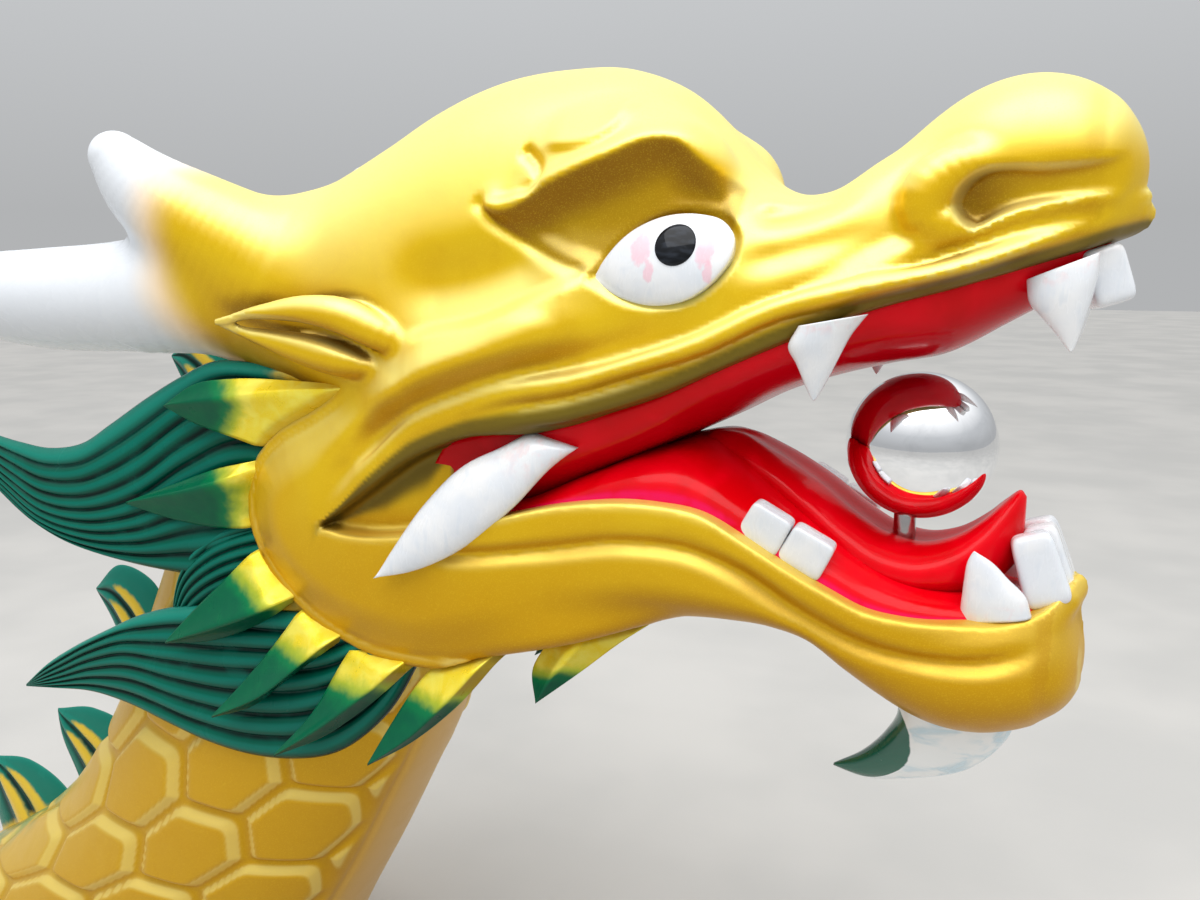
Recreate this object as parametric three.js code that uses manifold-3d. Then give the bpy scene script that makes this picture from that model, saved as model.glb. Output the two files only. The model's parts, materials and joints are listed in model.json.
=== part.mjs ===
import * as THREE from 'three';
import { mergeVertices } from 'three/addons/utils/BufferGeometryUtils.js';
import Module from 'manifold-3d';

// Figurehead of a dragon boat: a horned dragon's head with an open mouth and a ball between
// its jaws, on a scaled neck that ends in a flat flange. Millimetres, +X out through the
// snout, +Z up, +Y the dragon's left. The origin is the middle of the flange's underside.

// Driving dimensions
const BALL_DIAMETER = 100;
const BALL_CENTRE = { x: 825, z: 600 };
const FLANGE = { front: 272, back: -275, halfWidth: 128, thickness: 15 };
const STEM = { radius: 7.5, bottom: -72 };
const GAP = 0.3;
const SLIVER = 0.05;

// How round the forms are: 2 is an ellipse, more is boxier
const SHELL_ROUNDNESS = 2.2;
const SLAB_ROUNDNESS = 2.3;
const SHELL_STEPS = 18;
const SLAB_STEPS = 10;
const WAIST_BULGE = 0.06;
const SOCKET_DEPTH = 6;

// From here on, places are measured from the ball's centre, where the head group stands.
const FLANGE_TOP = FLANGE.thickness + GAP - BALL_CENTRE.z;

// The upper lip's edge, from the corner of the mouth forward: x, z
const UPPER_LIP = [
  [-490, -66], [-421, -75], [-400, -67], [-312, -18], [-241, 4], [-196, 19], [-153, 33],
  [-121, 49], [-71, 72], [-33, 82], [28, 102], [68, 110], [100, 129], [124, 147],
];

// The lower lip's edge, from the corner of the mouth forward: x, z
const LOWER_LIP = [
  [-490, -67], [-421, -76], [-400, -77], [-330, -66], [-266, -52], [-218, -42], [-156, -36],
  [-124, -40], [-91, -57], [-67, -71], [-39, -86], [-20, -95], [7, -100], [42, -100],
  [68, -98], [87, -91], [104, -80],
];

// Sections across the skull and snout, back to front.
// x, top, mid (height of the widest point), halfWidth, halfLip (half width at the lip's edge)
const SKULL = [
  [-560, 163, 106, 78, 60],
  [-520, 174, 98, 112, 92],
  [-460, 194, 88, 126, 104],
  [-400, 223, 68, 130, 111],
  [-360, 244, 60, 128, 112],
  [-312, 260, 56, 124, 110],
  [-257, 265, 60, 119, 106],
  [-210, 261, 70, 114, 102],
  [-170, 243, 80, 108, 99],
  [-140, 214, 88, 102, 96],
  [-110, 181, 98, 97, 93],
  [-90, 171, 102, 92, 90],
  [-60, 172, 110, 84, 86],
  [-30, 191, 118, 72, 80],
  [5, 210, 130, 60, 70],
  [40, 217, 145, 50, 60],
  [75, 201, 155, 36, 44],
  [100, 182, 155, 20, 27],
  [118, 168, 155, 8, 12],
];

// Bead along the upper lip, the dragon's right side: x, y, z, halfHeight, halfThickness
const LIP_BEAD = [
  [-408, -112, -66, 4, 5], [-374, -114, -36, 11, 9], [-336, -113, -6, 13, 9],
  [-290, -110, 12, 14, 9], [-240, -107, 22, 17, 10], [-200, -104, 31, 17, 10],
  [-153, -99, 47, 16, 10], [-100, -93, 69, 14, 10], [-50, -84, 91, 13, 10],
  [0, -70, 107, 12, 10], [40, -56, 119, 11, 10], [80, -36, 133, 10, 10],
  [106, -16, 142, 9, 10], [118, -4, 146, 8, 8],
];

// Hollows of the skull's right side: over the lip's bead, under the brow, and the nostril's.
// x, y, z, halfHeight, halfThickness
const HOLLOWS = [
  [
    [-392, -121, -22, 4, 4], [-368, -123, 8, 13, 11], [-325, -123, 32, 16, 12],
    [-270, -121, 48, 16, 12], [-210, -114, 61, 15, 12], [-155, -104, 82, 11, 10],
    [-112, -97, 102, 3, 3],
  ],
  [
    [-278, -112, 148, 3, 3], [-240, -108, 154, 13, 11], [-195, -103, 168, 14, 13],
    [-155, -97, 174, 12, 12], [-116, -86, 160, 3, 3],
  ],
  [
    [24, -70, 157, 3, 3], [34, -66, 160, 13, 13], [56, -61, 165, 10, 13],
    [84, -55, 169, 9, 13], [106, -40, 172, 7, 10], [118, -22, 175, 3, 4],
  ],
];
const HOLLOW_AROUND = 8;
const BEAD_AROUND = 12;

// Sections across the lower jaw and cheeks, back to front.
// x, bottom, mid (height of the widest point), halfWidth, halfLip
const JAW = [
  [-490, -112, -88, 112, 104],
  [-461, -146, -100, 126, 110],
  [-415, -172, -108, 128, 112],
  [-340, -175, -108, 124, 112],
  [-262, -158, -98, 116, 108],
  [-200, -143, -88, 109, 103],
  [-155, -134, -82, 104, 100],
  [-109, -129, -88, 98, 94],
  [-79, -131, -98, 93, 88],
  [-54, -136, -106, 88, 82],
  [-30, -156, -116, 84, 77],
  [0, -177, -124, 80, 72],
  [30, -185, -130, 76, 64],
  [60, -181, -130, 66, 52],
  [85, -168, -126, 52, 38],
  [104, -144, -118, 30, 20],
];

// Sections across the neck, top to bottom: the throat's point, the nape's point, half width
// frontX, frontZ, backX, backZ, halfWidth
const NECK = [
  [-300, -60, -540, 110, 84],
  [-338, -130, -590, 70, 98],
  [-372, -205, -650, -40, 106],
  [-398, -285, -722, -180, 110],
  [-432, -352, -780, -315, 112],
  [-470, -425, -860, -420, 114],
  [-512, -500, -968, -508, 118],
  [-556, FLANGE_TOP, -1096, FLANGE_TOP, 120],
];

// The neck's plates: pitch of their columns round the neck, size, bevels of the top edge and of
// the edge towards the throat, and the steep cut of the other edges
const PLATE = {
  columns: 5.15, bare: 4.7, start: 26, pitch: 98, height: 116, halfWide: 60, halfFlat: 34,
  rise: 7, topBevel: 20, frontBevel: 17, cut: 5,
};
const NECK_AROUND = 54;
const NECK_STATIONS = 36;

// Palate, the convex red roof of the mouth: x, bottom, halfWidth
const PALATE = [
  [-345, -62, 90], [-279, -57, 97], [-214, -27, 97], [-159, 2, 94], [-134, 13, 92],
  [-95, 32, 86], [-57, 46, 79], [-20, 56, 71], [15, 64, 62], [50, 84, 50], [90, 108, 28],
];

// Mouth floor, the red trough and gum inside the lower lip: x, top, halfWidth
const MOUTH_FLOOR = [
  [-345, -66, 90], [-279, -50, 96], [-214, -22, 96], [-175, -6, 94], [-145, -4, 90],
  [-115, -16, 86], [-80, -36, 80], [-45, -58, 73], [-10, -76, 66], [25, -82, 58],
  [55, -84, 46], [88, -84, 24],
];

// Tongue, lying on the mouth floor with its tip curled up: x, top, halfWidth
const TONGUE = [
  [-128, 0, 24], [-105, -10, 36], [-75, -30, 44], [-45, -52, 45], [-8, -62, 43],
  [25, -56, 38], [48, -38, 28], [62, -26, 12],
];

// Ear, the dragon's right one: x, y, z, halfHeight, halfThickness
const EAR = [
  [-338, -112, 60, 5, 6], [-362, -124, 66, 28, 16], [-395, -134, 70, 33, 21],
  [-432, -143, 75, 29, 20], [-470, -150, 79, 18, 14], [-500, -154, 81, 8, 8],
  [-514, -155, 82, 2, 3],
];

// Horn, the dragon's right one: its long branch and its upright prong.
// x, y, z, halfHeight, halfThickness
const HORN_BRANCH = [
  [-500, -62, 110, 58, 40], [-560, -100, 104, 56, 42], [-620, -134, 96, 48, 38],
  [-690, -150, 94, 43, 34], [-760, -160, 96, 36, 29], [-820, -168, 101, 25, 21],
  [-858, -173, 107, 12, 11], [-868, -174, 109, 4, 4],
];
const HORN_PRONG = [
  [-490, -84, 116, 48, 34], [-535, -114, 146, 42, 34], [-568, -134, 174, 33, 28],
  [-588, -146, 198, 23, 20], [-596, -151, 214, 13, 11], [-600, -153, 224, 4, 4],
];

// Mane fins of the dragon's right side: ribbed leaves between an upper and a lower edge, with
// the points x, z of those edges and of the line midway, from the root out to the tip
const UPPER_FIN = {
  ridges: 9,
  rootY: -104,
  tipY: -157,
  upper: [
    [-430, 40], [-500, 44], [-550, 43], [-576, 31], [-609, 12], [-644, -11], [-674, -29],
    [-709, -35], [-744, -32], [-790, -26], [-840, -22], [-884, -22],
  ],
  middle: [
    [-420, -40], [-470, -32], [-517, -30], [-568, -51], [-617, -79], [-668, -92], [-718, -88],
    [-763, -66], [-800, -48], [-845, -32], [-884, -23],
  ],
  lower: [
    [-430, -120], [-520, -142], [-586, -140], [-625, -136], [-663, -129], [-702, -118],
    [-736, -102], [-782, -74], [-830, -46], [-884, -24],
  ],
};
const UPPER_FIN_LOBE = {
  ridges: 5,
  rootY: -96,
  tipY: -127,
  upper: [[-430, -66], [-500, -80], [-560, -106], [-590, -138], [-600, -162], [-606, -188]],
  middle: [[-430, -103], [-495, -107], [-550, -126], [-582, -150], [-605, -189]],
  lower: [[-430, -140], [-490, -134], [-540, -147], [-575, -168], [-604, -190]],
};
const LOWER_FIN = {
  ridges: 7,
  rootY: -94,
  tipY: -130,
  upper: [
    [-380, -150], [-450, -158], [-540, -162], [-605, -172], [-641, -184], [-679, -202],
    [-725, -225], [-768, -250], [-806, -279],
  ],
  middle: [
    [-380, -200], [-450, -216], [-530, -224], [-600, -226], [-655, -226], [-700, -238],
    [-745, -256], [-806, -280],
  ],
  lower: [
    [-360, -238], [-395, -261], [-439, -279], [-483, -288], [-518, -291], [-563, -288],
    [-610, -279], [-654, -270], [-706, -267], [-755, -273], [-806, -281],
  ],
};
const FIN_STATIONS = [0, 0.14, 0.26, 0.37, 0.47, 0.57, 0.67, 0.77, 0.86, 0.93, 0.975];
const FIN_HALF_THICKNESS = 9;
const FIN_RIDGE = 2;
const FIN_INNER_STEPS = 3;

// Cheek spikes of the dragon's right side, from under the cheek's rim out to their tips.
// tipX, tipZ, upperX, upperZ, lowerX, lowerZ, rootY, tipY
const SPIKES = [
  [-590, 6, -396, 32, -462, -31, -116, -142],
  [-651, -83, -468, -30, -474, -97, -108, -142],
  [-609, -206, -474, -98, -436, -138, -110, -146],
  [-548, -257, -446, -144, -376, -152, -110, -144],
  [-477, -273, -392, -160, -320, -154, -110, -140],
  [-387, -268, -322, -154, -246, -146, -102, -130],
  [-262, -208, -246, -138, -158, -122, -72, -78],
];
const SPIKE_HALF_THICKNESS = 15;
const SPIKE_PROFILE = [[0, 1], [0.5, 0.58], [0.97, 0.03]];

// Teeth of the dragon's right side: root and tip points, the root's half sizes, and how far
// the middle bows forward of the straight line from root to tip.
// name, rootX, rootY, rootZ, tipX, tipY, tipZ, halfLength, halfDepth, bow
const FANGS = [
  ['upper_canine', 83, -40, 122, 90, -48, 70, 19, 13, 2],
  ['upper_tooth', -48, -82, 76, -50, -88, 38, 18, 11, 2],
  ['rear_fang', -268, -112, -30, -369, -132, -110, 30, 14, -10],
  ['lower_canine', 58, -50, -96, 43, -58, -56, 20, 11, 2],
];
const FANG_PROFILE = [[-0.4, 1.1], [0, 1], [0.35, 0.8], [0.7, 0.46], [0.9, 0.2], [0.98, 0.05]];
const FANG_AROUND = 10;

// Fins along the nape, top to bottom: leaves that rise from the neck and curl back.
// baseBackX, baseBackZ, baseFrontX, baseFrontZ, hollowX, hollowZ, crestX, crestZ, tipX, tipZ
const NAPE_FINS = [
  [-690, -78, -620, 20, -700, -20, -650, 66, -724, 30],
  [-756, -212, -690, -92, -776, -150, -744, -46, -812, -82],
  [-812, -362, -752, -242, -832, -300, -802, -192, -868, -230],
  [-922, -500, -850, -440, -936, -460, -800, -362, -957, -392],
  [-1086, -581, -945, -516, -1096, -540, -930, -438, -1098, -477],
];
const NAPE_FIN_PROFILE = [[0, 1], [0.2, 0.9], [0.4, 0.76], [0.6, 0.6], [0.8, 0.4], [0.97, 0.14]];
const NAPE_FIN_HALF_THICKNESS = 10;
const NAPE_FIN_AROUND = 12;

// Barb under the chin, curling back to its tip: x, z, halfLength, halfWidth
const BARB = [
  [36, -160, 34, 24], [34, -196, 33, 23], [20, -216, 27, 18], [-8, -232, 17, 12],
  [-34, -242, 8, 7], [-48, -247, 2, 2],
];
const BARB_TURN = 1.1;
const OVAL_AROUND = 14;

// Eyes, brows and nostril wings of the right side, and the blocks of broad teeth
const EYE = { x: -149, y: -84, z: 122, radiusX: 48, radiusY: 30, radiusZ: 31, tilt: 0.14 };
const PUPIL = { x: -140, y: -113, z: 132, radius: 13.5, depth: 6 };
const BROW = { x: -196, y: -62, z: 178, radiusX: 72, radiusY: 42, radiusZ: 46, tilt: 0.12 };
const NOSE = { x: 57, y: 0, z: 176, radiusX: 66, radiusY: 60, radiusZ: 61 };
const NOSTRIL_WING = { x: 14, y: -50, z: 160, radiusX: 26, radiusY: 22, radiusZ: 28 };
const MOLAR = { x: -68, y: -74, z: -62, length: 66, width: 22, height: 34, pitch: 0.42 };
const UPPER_INCISORS = { x: 108, z: 122, length: 30, width: 56, height: 38, pitch: -0.32 };
const LOWER_INCISORS = { x: 84, z: -76, length: 26, width: 58, height: 46, pitch: -0.3 };
const BLOCK_ROUNDING = 0.22;

const FINISH = {
  gold: { color: 0xd9b021, roughness: 0.25, metalness: 0.55 },
  horn: { color: 0xf3f0e6, roughness: 0.25, metalness: 0 },
  red: { color: 0xd3101f, roughness: 0.2, metalness: 0 },
  tooth: { color: 0xf6f4ef, roughness: 0.2, metalness: 0 },
  pupil: { color: 0x0c0d10, roughness: 0.1, metalness: 0 },
  green: { color: 0x0d6a50, roughness: 0.25, metalness: 0.1 },
  spike: { color: 0xc7b41f, roughness: 0.28, metalness: 0.45 },
  chrome: { color: 0xe4e6ea, roughness: 0.04, metalness: 1 },
};

const wasm = await Module();
wasm.setup();

// A closed three.js geometry as a solid
function solid(geometry) {
  geometry.deleteAttribute('normal');
  geometry.deleteAttribute('uv');
  const merged = mergeVertices(geometry, 1e-4);
  return new wasm.Manifold(new wasm.Mesh({
    numProp: 3,
    vertProperties: new Float32Array(merged.attributes.position.array),
    triVerts: new Uint32Array(merged.index.array),
  }));
}

function piece(name, shape, finish) {
  const { vertProperties, triVerts } = shape.getMesh();
  const geometry = new THREE.BufferGeometry();
  geometry.setAttribute('position', new THREE.BufferAttribute(vertProperties, 3));
  geometry.setIndex(new THREE.BufferAttribute(triVerts, 1));
  geometry.computeVertexNormals();
  const mesh = new THREE.Mesh(geometry, new THREE.MeshStandardMaterial(FINISH[finish]));
  mesh.name = name;
  return mesh;
}

// Skins rings of equal count into a closed solid, with a fan over each end
function loft(rings) {
  const count = rings[0].length;
  const points = rings.flat();
  for (const ring of [rings[0], rings[rings.length - 1]]) {
    points.push(ring.reduce((sum, p) => sum.add(p), new THREE.Vector3()).divideScalar(count));
  }
  const firstCentre = rings.length * count;
  const lastRing = (rings.length - 1) * count;
  const index = [];
  for (let j = 0; j < count; j++) {
    const k = (j + 1) % count;
    for (let i = 0; i + 1 < rings.length; i++) {
      const here = i * count;
      const next = here + count;
      index.push(here + j, here + k, next + k, here + j, next + k, next + j);
    }
    index.push(firstCentre, k, j, firstCentre + 1, lastRing + j, lastRing + k);
  }
  const geometry = new THREE.BufferGeometry().setFromPoints(points);
  geometry.setIndex(signedVolume(points, index) < 0 ? index.reverse() : index);
  return solid(geometry);
}

function signedVolume(points, index) {
  let volume = 0;
  for (let t = 0; t < index.length; t += 3) {
    const [a, b, c] = [points[index[t]], points[index[t + 1]], points[index[t + 2]]];
    volume += a.dot(new THREE.Vector3().crossVectors(b, c));
  }
  return volume;
}

function ellipsoid({ x, y, z, radiusX, radiusY, radiusZ, tilt = 0 }, detail = 20) {
  const geometry = new THREE.SphereGeometry(1, detail, detail / 2);
  geometry.scale(radiusX, radiusY, radiusZ).rotateY(-tilt).translate(x, y, z);
  return solid(geometry);
}

function roundedBlock({ x, y = 0, z, length, width, height, pitch }) {
  const radius = BLOCK_ROUNDING * Math.min(length, width);
  const outline = new THREE.Shape();
  const [a, b] = [length / 2 - radius, width / 2 - radius];
  outline.absarc(a, b, radius, 0, Math.PI / 2);
  outline.absarc(-a, b, radius, Math.PI / 2, Math.PI);
  outline.absarc(-a, -b, radius, Math.PI, 1.5 * Math.PI);
  outline.absarc(a, -b, radius, 1.5 * Math.PI, 2 * Math.PI);
  const geometry = new THREE.ExtrudeGeometry(outline, {
    depth: height, bevelEnabled: false, curveSegments: 3,
  });
  geometry.translate(0, 0, -height / 2).rotateY(pitch).translate(x, y, z);
  return solid(geometry);
}

// Height of a lip's edge at x, on the straight lines between its points
function heightAt(edge, x) {
  const after = edge.findIndex(([ex]) => ex >= x);
  if (after <= 0) return edge[after === 0 ? 0 : edge.length - 1][1];
  const [x0, z0] = edge[after - 1];
  const [x1, z1] = edge[after];
  return z0 + (z1 - z0) * (x - x0) / (x1 - x0);
}

// Half of a superellipse in the y-z plane from one flank over to the other.
// It starts at -half, at height flank, and peaks at height peak.
function arch(x, half, flank, peak, steps, roundness) {
  const power = 2 / roundness;
  return Array.from({ length: steps + 1 }, (_, i) => {
    const angle = Math.PI * (1 - i / steps);
    const [c, s] = [Math.cos(angle), Math.sin(angle)];
    return new THREE.Vector3(
      x,
      half * Math.sign(c) * Math.abs(c) ** power,
      flank + (peak - flank) * Math.abs(s) ** power,
    );
  });
}

// A section with a rounded back and a flat face at the lip: arch over, two corners at the lip
function lippedRing(x, half, mid, peak, halfLip, lip) {
  const ring = arch(x, half, mid, peak, SHELL_STEPS, SHELL_ROUNDNESS);
  const waist = (mid + lip) / 2;
  const halfWaist = (half + halfLip) / 2 + WAIST_BULGE * half;
  for (const [y, z] of [
    [halfWaist, waist], [halfLip, lip], [halfLip / 3, lip],
    [-halfLip / 3, lip], [-halfLip, lip], [-halfWaist, waist],
  ]) ring.push(new THREE.Vector3(x, y, z));
  return ring;
}

function ovalRing(x, y, z, halfHeight, halfThickness, count = OVAL_AROUND) {
  return Array.from({ length: count }, (_, i) => {
    const angle = (2 * Math.PI * i) / count;
    return new THREE.Vector3(
      x, y + halfThickness * Math.cos(angle), z + halfHeight * Math.sin(angle),
    );
  });
}

const mirrored = (shape) => shape.mirror([0, 1, 0]);
const both = (shape) => shape.add(mirrored(shape));

// Works a joined or cut shape out at once, so that no later step has to do it again
function settled(shape) {
  const { numProp, vertProperties, triVerts } = shape.getMesh();
  const fresh = new wasm.Manifold(new wasm.Mesh({ numProp, vertProperties, triVerts }));
  shape.delete();
  return fresh;
}

const join = (shapes) => settled(
  shapes.slice(1).reduce((sum, shape) => sum.add(shape), shapes[0].translate([0, 0, 0])),
);

// The right half of a form and its mirror image, so that what is fitted to one side fits both
const RIGHT_HALF = solid(new THREE.BoxGeometry(3000, 1000, 3000).translate(0, -500, 0));
function symmetric(shape) {
  const right = settled(shape.intersect(RIGHT_HALF));
  return settled(both(right));
}

function skullSolid() {
  const rings = SKULL.map(([x, top, mid, half, halfLip]) => (
    lippedRing(x, half, mid, top, halfLip, heightAt(UPPER_LIP, x))
  ));
  const swell = join([
    loft(rings), ellipsoid(NOSE, 18), both(ellipsoid(BROW, 14)), both(ellipsoid(NOSTRIL_WING, 12)),
  ]);
  const hollows = HOLLOWS.map((table) => both(leafRings(table, HOLLOW_AROUND)));
  return join([settled(swell.subtract(join(hollows))), both(leafRings(LIP_BEAD, BEAD_AROUND))]);
}

function jawSolid() {
  const rings = JAW.map(([x, bottom, mid, half, halfLip]) => (
    lippedRing(x, half, mid, bottom, halfLip, heightAt(LOWER_LIP, x) - GAP)
  ));
  return loft(rings);
}

// How far the neck's plates stand up, 0 to 1, at a place counted in columns of plates round
// from the nape and in rows of plates down the neck
function plateShare(column, row) {
  const { pitch, height, halfWide, halfFlat, topBevel, frontBevel, cut } = PLATE;
  return Math.max(...[0, 1].map((shift) => {
    const x = (column - 2 * Math.round((column - shift) / 2) - shift) * pitch;
    const z = (row - 0.5 * shift - Math.round(row - 0.5 * shift)) * height;
    const reach = halfWide - (halfWide - halfFlat) * Math.abs(z) / (height / 2);
    return THREE.MathUtils.smoothstep(Math.min(
      (height / 2 + z) / topBevel, (height / 2 - z) / cut,
      (reach - x) / frontBevel, (reach + x) / cut,
    ), 0, 1);
  }));
}

function neckSolid() {
  const front = curveThrough(NECK.map(([x, z, , , half]) => [x, z, half]));
  const back = curveThrough(NECK.map(([, , x, z, half]) => [x, z, half]));
  let run = 0;
  let above = null;
  const rings = Array.from({ length: NECK_STATIONS + 1 }, (_, i) => {
    const throat = front.getPoint(i / NECK_STATIONS);
    const nape = back.getPoint(i / NECK_STATIONS);
    const half = throat.y;
    const middle = throat.clone().lerp(nape, 0.5).setY(0);
    const reach = throat.clone().sub(nape).setY(0).divideScalar(2);
    if (above) run += middle.distanceTo(above);
    above = middle;
    const stretch = (reach.length() / half) ** 2;
    const fade = THREE.MathUtils.smoothstep(i, 0, 4)
      * THREE.MathUtils.smoothstep(NECK_STATIONS - i, 0, 1);
    const ring = Array.from({ length: NECK_AROUND }, (_, j) => {
      const angle = (2 * Math.PI * j) / NECK_AROUND;
      return middle.clone().addScaledVector(reach, Math.cos(angle)).setY(-half * Math.sin(angle));
    });
    const steps = ring.map((p, j) => p.distanceTo(ring[(j + 1) % NECK_AROUND]));
    const halfGirth = steps.reduce((sum, step) => sum + step) / 2;
    let arc = -halfGirth;
    return ring.map((p, j) => {
      const column = PLATE.columns * Math.abs(arc) / halfGirth;
      arc += steps[j];
      const bare = THREE.MathUtils.smoothstep(PLATE.bare - column, 0, 0.35);
      const up = p.clone().sub(middle);
      up.setY(up.y * stretch).normalize();
      const rise = PLATE.rise * fade * bare * plateShare(column, (run + PLATE.start) / PLATE.height);
      const onMiddle = 2 * j % NECK_AROUND === 0;
      return onMiddle ? p.addScaledVector(up, rise).setY(0) : p.addScaledVector(up, rise);
    });
  });
  return loft(rings);
}

function archedSlab(table, edge, offset) {
  return loft(table.map(([x, peak, half]) => {
    const flat = heightAt(edge, x) + offset;
    return arch(x, half, flat, peak, SLAB_STEPS, SLAB_ROUNDNESS);
  }));
}

// A smooth curve through points given as x, z and, where it matters, y
const curveThrough = (points) => new THREE.CatmullRomCurve3(
  points.map(([x, z, y = 0]) => new THREE.Vector3(x, y, z)),
);

function finSolid({ ridges, rootY, tipY, upper, middle, lower }) {
  const guides = [upper, middle, lower].map(curveThrough);
  const outer = Array.from({ length: 2 * ridges + 1 }, (_, i) => i / (2 * ridges));
  const inner = Array.from({ length: FIN_INNER_STEPS - 1 }, (_, i) => 1 - (i + 1) / FIN_INNER_STEPS);
  return loft(FIN_STATIONS.map((share) => {
    const [a, b, c] = guides.map((guide) => guide.getPointAt(share));
    const y = rootY + (tipY - rootY) * THREE.MathUtils.smoothstep(share, 0, 0.75);
    const size = (1 - share) ** 0.45;
    return [...outer, ...inner].map((v, i) => {
      const body = FIN_HALF_THICKNESS * size * (1 - Math.abs(2 * v - 1) ** 2.6) ** 0.5;
      const onRib = i > 0 && i < 2 * ridges ? FIN_RIDGE * size * (i % 2 ? 1 : -1) : 0;
      const place = a.clone().multiplyScalar((1 - v) * (1 - 2 * v))
        .addScaledVector(b, 4 * v * (1 - v)).addScaledVector(c, v * (2 * v - 1));
      return place.setY(i < outer.length ? y - body - onRib - 0.5 : y + 0.8 * body + 0.5);
    });
  }));
}

function leafRings(table, around = OVAL_AROUND) {
  return loft(table.map(([x, y, z, halfHeight, halfThickness]) => (
    ovalRing(x, y, z, halfHeight, halfThickness, around)
  )));
}

function spikeSolid([tipX, tipZ, upperX, upperZ, lowerX, lowerZ, rootY, tipY]) {
  const ridgeY = rootY - SPIKE_HALF_THICKNESS;
  const innerY = rootY + SPIKE_HALF_THICKNESS;
  const midX = (upperX + lowerX) / 2;
  const midZ = (upperZ + lowerZ) / 2;
  const base = [
    new THREE.Vector3(upperX, rootY, upperZ), new THREE.Vector3(midX, ridgeY, midZ),
    new THREE.Vector3(lowerX, rootY, lowerZ), new THREE.Vector3(midX, innerY, midZ),
  ];
  const root = new THREE.Vector3(midX, rootY, midZ);
  const tip = new THREE.Vector3(tipX, tipY, tipZ);
  return loft(SPIKE_PROFILE.map(([share, size]) => {
    const middle = root.clone().lerp(tip, share);
    return base.map((corner) => corner.clone().sub(root).multiplyScalar(size).add(middle));
  }));
}

function fangSolid([, rootX, rootY, rootZ, tipX, tipY, tipZ, halfLength, halfDepth, bow]) {
  const root = new THREE.Vector3(rootX, rootY, rootZ);
  const tip = new THREE.Vector3(tipX, tipY, tipZ);
  const along = tip.clone().sub(root).normalize();
  const across = new THREE.Vector3(0, 1, 0).cross(along).normalize();
  const out = across.clone().cross(along);
  return loft(FANG_PROFILE.map(([share, size]) => {
    const middle = root.clone().lerp(tip, share)
      .addScaledVector(across, 4 * bow * Math.max(share, 0) * (1 - share));
    return Array.from({ length: FANG_AROUND }, (_, i) => {
      const angle = (2 * Math.PI * i) / FANG_AROUND;
      return middle.clone()
        .addScaledVector(across, halfLength * size * Math.cos(angle))
        .addScaledVector(out, halfDepth * size * Math.sin(angle));
    });
  }));
}

function napeFinSolid(row) {
  const [baseBack, baseFront, hollow, crest, tip] = [0, 2, 4, 6, 8].map((i) => (
    new THREE.Vector2(row[i], row[i + 1])
  ));
  const backEdge = new THREE.QuadraticBezierCurve(baseBack, hollow, tip);
  const frontEdge = new THREE.QuadraticBezierCurve(baseFront, crest, tip);
  return loft(NAPE_FIN_PROFILE.map(([share, size]) => {
    const back = backEdge.getPoint(share);
    const front = frontEdge.getPoint(share);
    return Array.from({ length: NAPE_FIN_AROUND }, (_, i) => {
      const angle = (2 * Math.PI * i) / NAPE_FIN_AROUND;
      const { x, y: z } = back.clone().lerp(front, (1 - Math.cos(angle)) / 2);
      return new THREE.Vector3(x, NAPE_FIN_HALF_THICKNESS * size * Math.sin(angle), z);
    });
  }));
}

function barbSolid() {
  return loft(BARB.map(([x, z, halfLength, halfWidth], i) => {
    const turn = (i / (BARB.length - 1)) * BARB_TURN;
    return Array.from({ length: OVAL_AROUND }, (_, j) => {
      const angle = (2 * Math.PI * j) / OVAL_AROUND;
      return new THREE.Vector3(
        x + halfLength * Math.cos(angle) * Math.cos(turn),
        halfWidth * Math.sin(angle),
        z - halfLength * Math.cos(angle) * Math.sin(turn),
      );
    });
  }));
}

function flangeSolid() {
  const { front, back, halfWidth, thickness } = FLANGE;
  const outline = new THREE.Shape();
  outline.absarc(front - halfWidth, 0, halfWidth, -Math.PI / 2, Math.PI / 2);
  outline.absarc(back + halfWidth, 0, halfWidth, Math.PI / 2, 1.5 * Math.PI);
  return solid(new THREE.ExtrudeGeometry(outline, {
    depth: thickness, bevelEnabled: false, curveSegments: 12,
  }));
}

// A copy of a shape with its whole surface moved out by the gap. Each point moves so that
// every face that meets there ends up one gap further out, by least squares over the faces.
function swollen(shape) {
  const { vertProperties, triVerts } = shape.getMesh();
  const point = (i) => new THREE.Vector3().fromArray(vertProperties, 3 * i);
  const spread = new Float64Array(2 * vertProperties.length);
  const pull = new Float64Array(vertProperties.length);
  for (let t = 0; t < triVerts.length; t += 3) {
    const [a, b, c] = [0, 1, 2].map((k) => point(triVerts[t + k]));
    const normal = b.sub(a).cross(c.sub(a));
    if (normal.length() < SLIVER) continue;
    const [x, y, z] = normal.normalize().toArray();
    for (const i of triVerts.subarray(t, t + 3)) {
      [x * x, x * y, x * z, y * y, y * z, z * z].forEach((v, k) => { spread[6 * i + k] += v; });
      [x, y, z].forEach((v, k) => { pull[3 * i + k] += v * GAP; });
    }
  }
  const moved = new Float32Array(vertProperties);
  for (let i = 0; i < vertProperties.length / 3; i++) {
    const [xx, xy, xz, yy, yz, zz] = spread.subarray(6 * i, 6 * i + 6);
    const soft = 0.004 * (xx + yy + zz) + 1e-9;
    const way = new THREE.Vector3().fromArray(pull, 3 * i).applyMatrix3(
      new THREE.Matrix3().set(xx + soft, xy, xz, xy, yy + soft, yz, xz, yz, zz + soft).invert(),
    ).clampLength(0, 3 * GAP);
    way.toArray().forEach((v, k) => { moved[3 * i + k] += v; });
  }
  return new wasm.Manifold(new wasm.Mesh({ numProp: 3, vertProperties: moved, triVerts }));
}

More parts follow.
